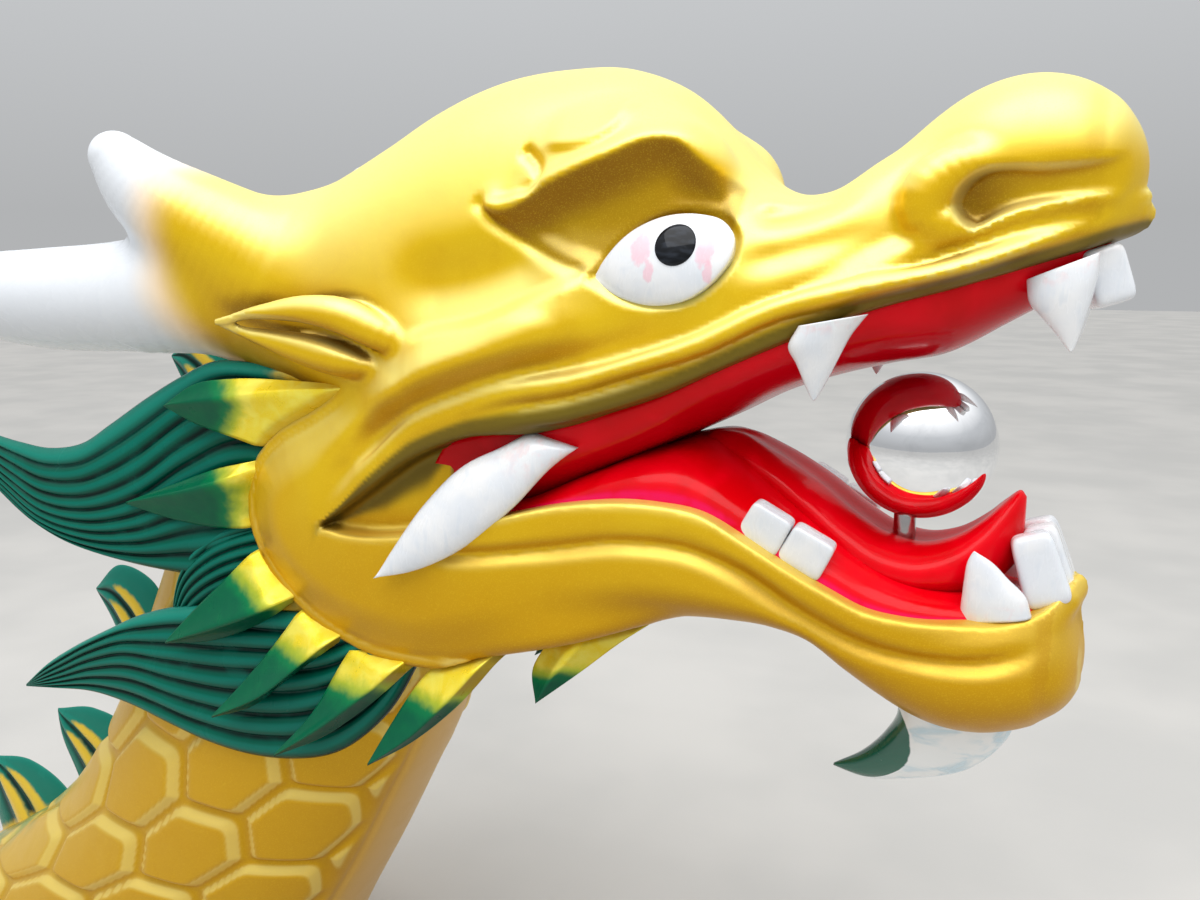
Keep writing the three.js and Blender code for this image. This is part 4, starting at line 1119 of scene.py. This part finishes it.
def fin_shape(ridges, thick, root_y, tip_y, upper, middle, lower, gilding=0.0):
    """A leaf of rounded ridges between three guides, gilded at its root by gilding."""
    steps, across, inner = 100, 12 * ridges + 8, 26
    upper, middle, lower = [smooth_path(p, steps) for p in (upper, middle, lower)]
    rings, crest, gilt, upmost = [], [], [], []
    v = (1 - np.cos(np.pi * np.arange(across + 1) / across)) / 2 * 0.2
    v = v + np.linspace(0, 1, across + 1) * 0.8
    w = np.linspace(1, 0, inner + 1)[1:-1]
    for i in range(steps):
        share = i / (steps - 1)
        y = root_y + (tip_y - root_y) * smoothstep(0, 0.75, share)
        reach = max(1 - share, 0.0) ** 0.45
        t = np.r_[v, w][:, None]
        line = (upper[i] * (1 - t) * (1 - 2 * t) + middle[i] * 4 * t * (1 - t)
                + lower[i] * t * (2 * t - 1))
        body = thick * reach * np.abs(1 - np.abs(2 * np.r_[v, w] - 1) ** 2.6) ** 0.5
        wave = np.abs(np.sin(np.pi * ridges * v)) ** 0.6
        fade = smoothstep(0, 0.1, 1 - share) * (0.35 + 0.65 * reach)
        rim = smoothstep(-0.02, 0.03, np.minimum(v, 1 - v))
        outward = body[:len(v)] + (wave - 0.5) * FIN_RELIEF * fade * rim
        ring_y = np.r_[y - outward, y + body[len(v):] * 0.8]
        rings.append(np.stack([line[:, 0], ring_y, line[:, 1]], 1))
        # Values for the green paint's painted highlight on the ridges and near the upper edge, and
        # its painted shade in the grooves
        crest.append(np.r_[wave, np.full(len(w), 0.5)])
        upmost.append(smoothstep(0.16, 0.02, np.r_[v, w]))
        gilt.append(crest[-1] * smoothstep(0.2, 0.05, share) * gilding)
    return skin(rings, crest=crest, gilt=gilt, upmost=upmost)


# Nape fins: leaves with two long folds. y is 0; back edge and front edge from root to tip
NAPE_FINS = [
    ([(-690, -78), (-696, -40), (-706, 0), (-724, 34)],
     [(-600, 10), (-640, 52), (-690, 58), (-724, 34)]),
    ([(-742, -210), (-754, -168), (-770, -128), (-796, -90)],
     [(-672, -120), (-706, -76), (-752, -64), (-796, -90)]),
    ([(-812, -362), (-826, -314), (-842, -268), (-870, -228)],
     [(-745, -262), (-780, -206), (-828, -196), (-870, -228)]),
    ([(-905, -520), (-932, -462), (-953, -420), (-957, -387)],
     [(-830, -410), (-848, -383), (-890, -374), (-957, -387)]),
    ([(-1086, -590), (-1094, -560), (-1100, -520), (-1096, -478)],
     [(-925, -520), (-960, -486), (-1017, -467), (-1096, -478)]),
]
NAPE_HALF_THICKNESS = 11.0
FOLD_HEIGHT, DIP_DEPTH = 3.6, 3.0


def nape_fin_shape(back, front):
    steps, across = 50, 40
    back, front = smooth_path(back, steps), smooth_path(front, steps)
    v = (1 - np.cos(np.linspace(0, np.pi, across + 1))) / 2
    rings, crest, gilt, upmost = [], [], [], []
    for i in range(steps):
        share = i / (steps - 1)
        reach = max(1 - share, 0.0) ** 0.5
        body = NAPE_HALF_THICKNESS * reach * np.abs(1 - np.abs(2 * v - 1) ** 2.2) ** 0.6
        fold = np.exp(-((v - 0.42) / 0.08) ** 2) + 0.8 * np.exp(-((v - 0.68) / 0.07) ** 2)
        dip = np.exp(-((v - 0.55) / 0.045) ** 2) + 0.7 * np.exp(-((v - 0.26) / 0.06) ** 2)
        relief = FOLD_HEIGHT * fold - DIP_DEPTH * dip
        relief = relief * reach * smoothstep(0, 0.2, 1 - share)
        outward = np.maximum(body + relief, 0)
        line = back[i] + (front[i] - back[i]) * v[:, None]
        right = np.stack([line[:, 0], -outward, line[:, 1]], 1)
        left = np.stack([line[:, 0], outward, line[:, 1]], 1)[-2:0:-1]
        rings.append(np.concatenate([right, left]))
        # Painted highlight on the folds and painted shade in the dips
        shade = 0.6 + 0.4 * fold - 0.5 * dip
        crest.append(np.r_[shade, shade[-2:0:-1]])
        yellow = np.maximum(1.2 * fold * smoothstep(0.85, 0.45, share), smoothstep(0.3, 0.0, share))
        gilt.append(np.r_[yellow, yellow[-2:0:-1]])
        upmost.append(0.75 * (1 - np.r_[dip, dip[-2:0:-1]]))
    return skin(rings, crest=crest, gilt=gilt, upmost=upmost)


# Neck: sections from the throat down to the flange: throat x, z, nape x, z, half width
NECK = [
    (-300, -60, -540, 110, 84), (-338, -130, -590, 70, 98), (-372, -205, -640, -40, 106),
    (-398, -285, -706, -180, 110), (-432, -352, -780, -315, 112), (-470, -425, -860, -420, 114),
    (-512, -500, -968, -508, 118), (-556, FLANGE_TOP, -1096, FLANGE_TOP, 120),
]
# Scales: columns from the nape to the belly's edge, the factor that takes in half the belly, the
# width of a column, the height of a row, how far the rows are moved, how far a plate stands out
SCALE_COLUMNS = 4.6
WITH_BELLY = 1.12
SCALE_WIDTH = 98.0
SCALE_HEIGHT = 116.0
SCALE_SHIFT = 26.0
SCALE_RISE = 7.0
# Seam between the scales and the belly
SEAM_DEPTH, SEAM_WIDTH = 2.5, 4.0


def scale_height(across, up):
    """Relief of the overlapping plates; across is counted in columns, up in rows."""
    best = np.zeros(np.broadcast(across, up).shape)
    for shift in (0, 1):
        column = 2 * np.round((across - shift) / 2) + shift
        row = np.round(up - 0.5 * shift) + 0.5 * shift
        p = (across - column) * SCALE_WIDTH
        q = (up - row) * SCALE_HEIGHT
        half_tall, half_wide, half_flat = 57, 60, 34
        slant = (half_wide - half_flat) / half_tall
        norm = math.hypot(1, slant)
        front = (half_wide - p - slant * np.abs(q)) / norm
        back = (half_wide + p - slant * np.abs(q)) / norm
        top, bottom = half_tall + q, half_tall - q
        edge = soft_union(soft_union(top / 20, front / 17, 0.6),
                          soft_union(bottom / 9, back / 9, 0.6), 0.6)
        best = np.maximum(best, smoothstep(0, 1, np.clip(edge, 0, 1)))
    return best


def neck_shape():
    around, steps = 288, 320
    c, s = superellipse(around, 2.15)
    rings, recess, edge, pale, green = [], [], [], [], []
    stations = smooth_path(NECK, steps)
    middles = (stations[:, :2] + stations[:, 2:4]) / 2
    run = np.r_[0, np.cumsum(np.linalg.norm(np.diff(middles, axis=0), axis=1))]
    for i, (fx, fz, bx, bz, half) in enumerate(stations):
        front, back = np.array([fx, 0, fz]), np.array([bx, 0, bz])
        middle, reach = (front + back) / 2, (front - back) / 2
        ring = middle + reach * c[:, None] + np.array([0, -half, 0]) * s[:, None]
        step = np.linalg.norm(np.roll(ring, -1, 0) - ring, axis=1)
        # arc from the nape, where the ring's angle is half a turn, round to the throat
        arc = np.r_[0, np.cumsum(step)[:-1]]
        girth = step.sum()
        from_nape = np.abs(arc - girth / 2) / (girth / 2)
        across = from_nape * SCALE_COLUMNS * WITH_BELLY
        belly = smoothstep(SCALE_COLUMNS + 0.1, SCALE_COLUMNS - 0.25, across)
        row = (run[i] + SCALE_SHIFT) / SCALE_HEIGHT * np.ones(around)
        relief = scale_height(across, row) * belly
        seam = np.exp(-(((across - SCALE_COLUMNS - 0.12) * SCALE_WIDTH / SEAM_WIDTH) ** 2))
        stretch = (np.linalg.norm(reach) / half) ** 2
        normal = (ring - middle) * (1, stretch, 1)
        normal /= np.linalg.norm(normal, axis=1, keepdims=True)
        fade = smoothstep(0, 14, run[-1] - run[i]) * smoothstep(60, 200, run[i])
        rise = (SCALE_RISE * relief - SEAM_DEPTH * seam) * fade
        rings.append(ring + normal * rise[:, None])
        # Painted shade in the gaps between the plates, and a painted highlight along the plates'
        # bevels
        recess.append(0.3 - 0.3 * np.maximum(relief, 1 - belly) * (1 - 0.6 * seam))
        edge.append(np.exp(-(((relief - 0.55) / 0.3) ** 2)) * belly)
        pale.append(smoothstep(-0.2, 0.5, across - SCALE_COLUMNS))
        over = np.maximum(smoothstep(250, 120, run[i]), smoothstep(0.9, 0.2, across))
        green.append(np.maximum(over, 0) * np.ones(around))
    return skin(rings, recess=recess, edge=edge, pale=pale, green=green)


# Barb: a hooked claw under the chin. Top edge and bottom edge from root to tip
BARB_TOP = [(-6, -176), (-6, -196), (-14, -212), (-30, -231), (-50, -245)]
BARB_BOTTOM = [(76, -176), (68, -200), (46, -226), (10, -242), (-26, -250), (-50, -247)]
BARB_HALF_WIDTH = 26.0


def barb_shape():
    steps, around = 60, 48
    top, bottom = smooth_path(BARB_TOP, steps), smooth_path(BARB_BOTTOM, steps)
    c, s = superellipse(around, 2.1)
    rings, green = [], []
    for i in range(steps):
        share = i / (steps - 1)
        middle, reach = (top[i] + bottom[i]) / 2, (bottom[i] - top[i]) / 2
        width = BARB_HALF_WIDTH * (1 - share) ** 0.75 + 0.6
        rings.append(np.stack([middle[0] + reach[0] * c, width * s * (1 - 0.25 * c),
                               middle[1] + reach[1] * c], 1))
        green.append(smoothstep(-0.04, 0.08, share - 0.5 - 0.42 * c))
    return skin(rings, green=green)


# Ball and stem

# Stem: x of its axis, then heights and radii
STEM_X = -8
STEM = [(-82, 7.0), (-78, 7.5), (-66, 7.5), (-64, 7.9), (-60, 7.9), (-58, 7.5), (-44, 7.5),
        (-40, 5)]


def turned(profile, around, axis_x=0):
    """A round solid about an upright axis, from heights and radii."""
    c, s = superellipse(around, 2)
    return skin([np.stack([axis_x + radius * c, radius * s, np.full(around, float(z))], 1)
                 for z, radius in profile])


def ball_shape():
    angles = math.pi * np.linspace(0.01, 0.99, 64)
    return turned([(-BALL_RADIUS * math.cos(a), BALL_RADIUS * math.sin(a)) for a in angles], 96)


# Materials

class Paint:
    """The nodes of one material, built a step at a time; each step gives back its socket."""

    def __init__(self, name, coat=0.0, coat_roughness=0.08, specular=0.5):
        self.material = bpy.data.materials.new(name)
        self.material.use_nodes = True
        self.tree = self.material.node_tree
        self.shader = self.tree.nodes["Principled BSDF"]
        self.shader.inputs["Coat Weight"].default_value = coat
        self.shader.inputs["Coat Roughness"].default_value = coat_roughness
        self.shader.inputs["Specular IOR Level"].default_value = specular
        corner = self.tree.nodes.new("ShaderNodeTexCoord").outputs["Object"]
        # the place in millimetres from the ball's centre
        moved = self.step("ShaderNodeVectorMath", {0: corner, 1: BALL_CENTRE}, operation="SUBTRACT")
        self.place = self.step("ShaderNodeVectorMath", {0: moved, "Scale": 1000.0},
                               operation="SCALE")
        self.split = self.tree.nodes.new("ShaderNodeSeparateXYZ")
        self.tree.links.new(self.place, self.split.inputs[0])

    def step(self, kind, inputs, out=0, **settings):
        node = self.tree.nodes.new(kind)
        for label, value in settings.items():
            setattr(node, label, value)
        for label, value in inputs.items():
            self.plug(value, node.inputs[label])
        return node.outputs[out]

    def plug(self, value, socket):
        if isinstance(value, bpy.types.NodeSocket):
            self.tree.links.new(value, socket)
        elif isinstance(value, tuple) and socket.type == "RGBA":
            socket.default_value = (*value, 1.0)
        else:
            socket.default_value = value

    def math(self, operation, a, b=0.0):
        return self.step("ShaderNodeMath", {0: a, 1: b}, operation=operation)

    def value(self, label):
        return self.step("ShaderNodeAttribute", {}, out=2, attribute_name=label)

    def fade(self, value, low, high, top=1.0):
        """0 at low up to top at high, smoothly."""
        return self.step("ShaderNodeMapRange", {0: value, 1: low, 2: high, 3: 0.0, 4: top},
                         interpolation_type="SMOOTHSTEP")

    def spread(self, value, low, high, first=0.3, last=0.7):
        """low where value is first, in a straight line up to high where it is last."""
        return self.step("ShaderNodeMapRange", {0: value, 1: first, 2: last, 3: low, 4: high})

    def noise(self, size, detail=2.0, stretch=(1.0, 1.0, 1.0), warp=0.0, shift=0.0):
        """Noise with features of about size millimetres, longer along an axis by stretch."""
        where = self.step("ShaderNodeMapping", {
            0: self.place, 1: (shift, shift, shift), 3: tuple(1 / (size * s) for s in stretch)})
        return self.step("ShaderNodeTexNoise", {
            "Vector": where, "Scale": 1.0, "Detail": detail, "Distortion": warp})

    def specks(self, spacing, size, share):
        """Round specks, in a share of the cells of a pattern this far apart."""
        where = self.step("ShaderNodeVectorMath", {0: self.place, "Scale": 1 / spacing},
                          operation="SCALE")
        cell = self.tree.nodes.new("ShaderNodeTexVoronoi")
        self.tree.links.new(where, cell.inputs["Vector"])
        picked = self.step("ShaderNodeSeparateColor", {0: cell.outputs["Color"]})
        near = self.fade(cell.outputs["Distance"], size / spacing, 0.5 * size / spacing)
        return self.math("MULTIPLY", near, self.math("LESS_THAN", picked, share))

    def mix(self, share, a, b):
        return self.step("ShaderNodeMix", {0: share, 6: a, 7: b}, out=2, data_type="RGBA")

    def lay(self, colour, *layers):
        """Fades tints in over a colour: each layer is a value, where its fade starts and ends,
        how far it goes, and the tint. A value may be named."""
        for value, low, high, top, tint in layers:
            if isinstance(value, str):
                value = self.value(value)
            colour = self.mix(self.fade(value, low, high, top), colour, tint)
        return colour

    def blot(self, centre, radii, ragged):
        """A ragged round patch in the side view."""
        reach = self.math("MULTIPLY", self.noise(5, 2), ragged)
        for axis, middle, radius in ((0, centre[0], radii[0]), (2, centre[1], radii[1])):
            away = self.math("SUBTRACT", self.split.outputs[axis], middle)
            away = self.math("POWER", self.math("ABSOLUTE", self.math("DIVIDE", away, radius)), 2)
            reach = self.math("ADD", reach, away)
        return self.fade(reach, 1 + ragged / 2, 0.4 + ragged / 2)

    def heights(self, *rows):
        """Bumps laid over each other: each row is a 0-to-1 socket and its height in mm."""
        normal = None
        for socket, height in rows:
            inputs = {"Height": socket, "Distance": abs(height) * MM, "Strength": 1.0}
            if normal is not None:
                inputs["Normal"] = normal
            normal = self.step("ShaderNodeBump", inputs, invert=height < 0)
        self.plug(normal, self.shader.inputs["Normal"])

    def finish(self, colour, roughness, metallic=0.0):
        self.plug(colour, self.shader.inputs["Base Color"])
        self.plug(roughness, self.shader.inputs["Roughness"])
        self.plug(metallic, self.shader.inputs["Metallic"])
        return self.material


def gold_paint(name):
    """Satin gold with a painted highlight where it faces up, painted ochre shade low down, facing
    down and in hollows, and white and green overspray.
    """
    p = Paint(name, coat=0.12, coat_roughness=0.14, specular=0.15)
    patch = p.noise(26, 3, warp=0.6)
    flake = p.noise(0.9, 1)
    pits = p.specks(17, 0.55, 0.12)
    white = p.value("white")
    colour = p.mix(p.fade(p.noise(120, 3), 0.35, 0.65), (0.78, 0.48, 0.006), (0.84, 0.56, 0.012))
    height = p.split.outputs[2]
    colour = p.lay(colour,
                   (patch, 0.45, 0.75, 0.25, (0.66, 0.37, 0.004)),
                   # painted shade: darker ochre towards the bottom and where the surface faces down
                   (height, 0, -140, 0.85, (0.58, 0.30, 0.001)),
                   ("droop", 0.05, 0.8, 0.75, (0.44, 0.19, 0.001)))
    # painted highlight: pale gold where the surface faces up, more of it high up
    top_light = p.spread(height, 0.2, 1.0, -110, 40)
    colour = p.mix(p.math("MULTIPLY", top_light, p.fade(p.value("lift"), 0.02, 0.6, 0.85)), colour,
                   (0.92, 0.82, 0.26))
    colour = p.lay(colour,
                   # painted shade in broad hollows
                   ("hollow", 0.2, 0.9, 0.55, (0.50, 0.23, 0.001)),
                   ("shade", 0.0, 1.0, 0.9, (0.25, 0.11, 0.001)),
                   # painted shade in creases and recesses
                   ("recess", 0.15, 0.80, 0.75, (0.14, 0.062, 0.001)),
                   # painted highlight along edges
                   ("edge", 0.05, 0.45, 0.4, (0.96, 0.84, 0.28)),
                   (flake, 0.52, 0.70, 0.14, (1.0, 0.76, 0.05)),
                   # painted shade on the upper lip's downward face
                   ("lip_shade", 0.0, 1.0, 0.85, (0.085, 0.068, 0.012)),
                   ("pale", 0.0, 1.0, 0.6, (0.72, 0.50, 0.24)))
    overspray = p.math("MULTIPLY", p.value("green"), p.fade(p.noise(34, 3), 0.34, 0.6, 0.75))
    colour = p.mix(overspray, colour, (0.05, 0.24, 0.10))
    colour = p.mix(p.math("MULTIPLY", pits, 0.7), colour, (0.12, 0.05, 0.01))
    colour = p.lay(colour,
                   (white, 0.0, 0.45, 1.0, (0.86, 0.66, 0.42)),
                   (white, 0.25, 0.85, 1.0, (0.70, 0.73, 0.77)))
    metal = p.fade(white, 0.5, 0.0, 0.45)
    roughness = p.spread(patch, 0.36, 0.46)
    roughness = p.math("SUBTRACT", roughness, p.math("MULTIPLY", white, 0.14))
    p.heights((p.noise(30, 2), 0.4), (p.noise(3.4, 1), 0.05), (pits, -0.3))
    return p.finish(colour, roughness, metal)


def red_paint():
    p = Paint("red_paint", coat=0.12, coat_roughness=0.05, specular=0.08)
    wash = p.noise(55, 3, warp=0.5)
    colour = p.mix(p.fade(wash, 0.35, 0.65), (0.66, 0.0, 0.003), (0.82, 0.0, 0.008))
    # painted shade where the mouth's surfaces face down
    colour = p.lay(colour, ("droop", 0.1, 0.9, 0.7, (0.32, 0.0, 0.005)))
    rim = p.math("MULTIPLY", p.value("rim"), p.fade(p.noise(16, 2), 0.2, 0.5))
    colour = p.mix(p.math("MULTIPLY", rim, 0.8), colour, (0.80, 0.01, 0.12))
    roughness = p.spread(wash, 0.16, 0.28)
    p.heights((p.noise(20, 2, warp=0.4), 0.5), (p.noise(2.6, 1), 0.03))
    return p.finish(colour, roughness)


def tooth_paint(name, *blots):
    """Brushed white enamel, reddened at the gum and by blots of thin pink paint."""
    p = Paint(name, coat=0.5, coat_roughness=0.06)
    streak = p.noise(5, 3, stretch=(1, 1, 3.5))
    colour = p.mix(p.fade(p.noise(24, 2), 0.35, 0.65), (0.70, 0.73, 0.77), (0.78, 0.79, 0.80))
    colour = p.mix(p.fade(streak, 0.52, 0.75, 0.5), colour, (0.62, 0.67, 0.73))
    gum = p.math("MULTIPLY", p.value("gum"), p.fade(p.noise(7, 2), 0.45, 0.7, 0.3))
    colour = p.mix(gum, colour, (0.80, 0.45, 0.45))
    for centre, radii in blots:
        colour = p.mix(p.math("MULTIPLY", p.blot(centre, radii, 1.3), 0.5), colour,
                       (0.84, 0.36, 0.46))
    roughness = p.spread(streak, 0.2, 0.34)
    p.heights((p.noise(12, 2), 0.3), (streak, 0.1))
    return p.finish(colour, roughness)


def pupil_paint():
    p = Paint("pupil_paint", coat=0.25, coat_roughness=0.03, specular=0.05)
    stroke = p.noise(4, 2, stretch=(3, 1, 1))
    colour = p.mix(p.fade(stroke, 0.4, 0.7), (0.006, 0.007, 0.009), (0.02, 0.024, 0.032))
    p.heights((stroke, 0.12),)
    return p.finish(colour, p.fade(stroke, 0.3, 0.8, 0.2))


def green_paint():
    """Glossy green with painted shade in the grooves and where it faces down, a painted teal
    highlight on the ridges and towards upper edges, gilded where gilt says.
    """
    p = Paint("green_paint", coat=0.14, coat_roughness=0.04, specular=0.05)
    patch = p.noise(42, 3, warp=0.8)
    crest = p.value("crest")
    # painted shade in the grooves, lighter green up the ridges
    colour = p.mix(p.fade(crest, 0.3, 0.85), (0.0003, 0.016, 0.012), (0.0008, 0.095, 0.060))
    colour = p.lay(colour,
                   (patch, 0.45, 0.75, 0.35, (0.002, 0.13, 0.09)),
                   # painted highlight on the ridge tops and towards the upper edge
                   (crest, 0.82, 1.0, 0.4, (0.004, 0.22, 0.17)),
                   ("upmost", 0.0, 1.0, 0.6, (0.02, 0.28, 0.21)),
                   # painted shade where the surface faces down
                   ("droop", 0.2, 0.9, 0.6, (0.0003, 0.03, 0.02)))
    ragged = p.math("ADD", p.value("gilt"), p.math("MULTIPLY", p.noise(9, 2), 0.35))
    gilt = p.fade(ragged, 0.42, 0.85)
    colour = p.mix(gilt, colour, (0.80, 0.55, 0.05))
    roughness = p.spread(patch, 0.18, 0.3)
    p.heights((p.noise(15, 2), 0.2), (p.noise(2.4, 1), 0.03))
    return p.finish(colour, roughness, p.math("MULTIPLY", gilt, 0.4))


def spike_paint():
    """Gold at the root, through yellow and leaf green to deep green at the tip."""
    p = Paint("spike_paint", coat=0.12, coat_roughness=0.08, specular=0.08)
    patch = p.noise(18, 3, warp=0.5)
    spray = p.math("ADD", p.value("green"), p.math("MULTIPLY", p.math(
        "SUBTRACT", p.noise(10, 3), 0.5), 0.35))
    colour = p.mix(p.fade(patch, 0.35, 0.65), (0.92, 0.72, 0.03), (0.96, 0.84, 0.11))
    colour = p.lay(colour,
                   (p.noise(0.9, 1), 0.52, 0.70, 0.2, (1.0, 0.84, 0.24)),
                   # painted shade where the surface faces down and on the lower face
                   ("droop", 0.3, 0.9, 0.5, (0.50, 0.24, 0.002)),
                   ("under", 0.3, 1.0, 0.8, (0.20, 0.10, 0.003)),
                   (spray, 0.0, 0.4, 0.85, (0.30, 0.42, 0.03)),
                   (spray, 0.3, 0.75, 1.0, (0.002, 0.17, 0.055)),
                   (spray, 0.7, 1.05, 0.7, (0.0005, 0.075, 0.045)))
    # painted shade on the lower face where it is sprayed green
    colour = p.mix(p.math("MULTIPLY", p.value("under"), p.fade(spray, 0.3, 0.7, 0.7)), colour,
                   (0.0003, 0.022, 0.014))
    roughness = p.spread(patch, 0.26, 0.38)
    p.heights((p.noise(22, 2), 0.4), (p.noise(3, 1), 0.07))
    return p.finish(colour, roughness, p.fade(spray, 0.6, 0.1, 0.25))


def barb_paint():
    p = Paint("barb_paint", coat=0.6, coat_roughness=0.06)
    smear = p.noise(11, 3, stretch=(2.5, 1, 1), warp=0.4)
    colour = p.mix(p.fade(smear, 0.42, 0.68, 0.85), (0.86, 0.87, 0.86), (0.50, 0.66, 0.74))
    ragged = p.math("ADD", p.value("green"), p.math("MULTIPLY", p.math(
        "SUBTRACT", p.noise(6, 2), 0.5), 0.3))
    colour = p.mix(p.fade(ragged, 0.4, 0.6), colour, (0.004, 0.10, 0.06))
    roughness = p.spread(smear, 0.18, 0.3)
    p.heights((p.noise(14, 2), 0.3), (smear, 0.08))
    return p.finish(colour, roughness)


def metal_paint(name, bright, dull, low, high):
    """Polished metal with smudges and fine scratches."""
    p = Paint(name)
    smudge = p.noise(24, 4, warp=1.0)
    scratch = p.noise(1.6, 2, stretch=(1, 12, 3))
    colour = p.mix(p.fade(smudge, 0.45, 0.75), bright, dull)
    roughness = p.spread(smudge, low, high, 0.4, 0.8)
    p.heights((scratch, 0.004),)
    return p.finish(colour, roughness, 1.0)


gold = gold_paint("gold_paint")
horn_white = gold_paint("horn_paint")
red = red_paint()
white = tooth_paint("tooth_paint")
eye_white = tooth_paint("eye_paint", ((-164, 131), (8, 12)), ((-157, 117), (4, 8)),
                        ((-122, 131), (7, 14)), ((-119, 116), (3.5, 9)))
green = green_paint()
black = pupil_paint()
spikes_paint = spike_paint()
barb_white = barb_paint()
chrome = metal_paint("chrome", (0.90, 0.91, 0.93), (0.80, 0.81, 0.83), 0.025, 0.09)
steel = metal_paint("steel", (0.52, 0.50, 0.49), (0.34, 0.30, 0.28), 0.2, 0.4)

dress(head_pieces["skull"], gold, "gold", "skull", "ear_right", "ear_left")
dress(head_pieces["jaw"], gold, "gold", "lower_jaw")
dress(head_pieces["horn_right"], horn_white, "horn_white", "horn_right")
dress(head_pieces["horn_left"], horn_white, "horn_white", "horn_left")
dress_pair("eye_white", eye_shape(), eye_white, "tooth_white", "eye")
dress_pair("eye_pupil", pupil_shape(), black, "pupil_black", "pupil")
dress(make_piece("mouth_roof", mouth_slab(PALATE, UPPER_LIP, 3, 0)), red, "mouth_red", "palate")
dress(make_piece("mouth_trough", mouth_slab(MOUTH_FLOOR, LOWER_LIP, -3, 1)), red, "mouth_red",
      "mouth_floor")
dress(make_piece("curled_tongue", tongue_shape()), red, "mouth_red", "tongue")
for name, row in TEETH.items():
    dress_pair(f"{name}_tooth", blade(*row), white, "tooth_white", name)
dress_pair("molar_blocks", join(*[rounded_box(*row) for row in MOLAR_BLOCKS]), white,
           "tooth_white", "lower_molars")
for name, rows in TOOTH_BLOCKS.items():
    dress(make_piece(f"{name}_blocks", join(*[rounded_box(*row) for row in rows])), white,
          "tooth_white", name)
for number, *row in SPIKES:
    dress_pair(f"cheek_spike_{number}", spike_shape(*row), spikes_paint, "spike_gold_green",
               f"spike_{number}")
upper_fin = join(fin_shape(*FINS["upper_fin"], gilding=0.7), fin_shape(*FINS["upper_lobe"]))
dress_pair("mane_fin_upper", upper_fin, green, "mane_green", "upper_fin")
dress_pair("mane_fin_lower", fin_shape(*FINS["lower_fin"]), green, "mane_green", "lower_fin")
for number, (back, front) in enumerate(NAPE_FINS, 1):
    dress(make_piece(f"nape_leaf_{number}", nape_fin_shape(back, front)), green, "mane_green",
          f"nape_fin_{number}")
dress(make_piece("scaled_neck", neck_shape()), gold, "gold", "neck")
dress(make_piece("hooked_barb", barb_shape()), barb_white, "barb_white_green", "chin_barb")
dress(make_piece("mirror_ball", ball_shape()), chrome, "mirror_chrome", "ball")
dress(make_piece("ball_pin", turned(STEM, 40, STEM_X)), steel, "mirror_chrome", "ball_stem")

SLOT_MATERIALS = {
    "gold": gold, "horn_white": horn_white, "mouth_red": red, "tooth_white": white,
    "pupil_black": black, "mane_green": green, "spike_gold_green": spikes_paint,
    "barb_white_green": barb_white, "mirror_chrome": chrome,
}
for row in frame["record"]["subparts"]:
    node = frame["nodes"][row["node"]]
    node.data.materials.clear()
    node.data.materials.append(SLOT_MATERIALS[row["material_slot"]])


# Stage: floor, a soft light overhead and a plain sky

SKY_STRENGTH = 1.65
LAMP_PLACE, LAMP_AIM = Vector((0.9, -0.9, 3.0)), Vector((0.6, 0, 0.6))
LAMP_SIZE, LAMP_WATTS = (3.0, 2.4), 75


def make_stage():
    bpy.ops.mesh.primitive_plane_add(size=40, location=(0, 0, 0))
    floor = bpy.context.object
    floor.name = "floor"
    p = Paint("floor_paint")
    colour = p.mix(p.fade(p.noise(400, 3), 0.3, 0.7), (0.42, 0.415, 0.40), (0.48, 0.47, 0.45))
    p.heights((p.noise(20, 3), 0.3),)
    floor.data.materials.append(p.finish(colour, 0.75))
    bpy.context.scene.view_settings.view_transform = "Standard"
    world = bpy.data.worlds.new("sky")
    world.use_nodes = True
    bpy.context.scene.world = world
    nodes, links = world.node_tree.nodes, world.node_tree.links
    coordinates = nodes.new("ShaderNodeTexCoord")
    split = nodes.new("ShaderNodeSeparateXYZ")
    ramp = nodes.new("ShaderNodeValToRGB")
    shades = ramp.color_ramp.elements
    shades[0].position, shades[0].color = 0.05, (0.27, 0.275, 0.28, 1)
    shades[1].position, shades[1].color = 0.95, (1.0, 1.0, 1.0, 1)
    middle = shades.new(0.35)
    middle.color = (0.38, 0.39, 0.40, 1)
    links.new(coordinates.outputs["Generated"], split.inputs["Vector"])
    links.new(split.outputs["Z"], ramp.inputs["Fac"])
    links.new(ramp.outputs["Color"], nodes["Background"].inputs["Color"])
    nodes["Background"].inputs["Strength"].default_value = SKY_STRENGTH
    light = bpy.data.lights.new("overhead", "AREA")
    light.shape = "RECTANGLE"
    light.size, light.size_y = LAMP_SIZE
    light.energy = LAMP_WATTS
    lamp = bpy.data.objects.new("overhead", light)
    bpy.context.scene.collection.objects.link(lamp)
    lamp.location = LAMP_PLACE
    lamp.rotation_euler = (LAMP_AIM - LAMP_PLACE).to_track_quat("-Z", "Y").to_euler()


make_stage()
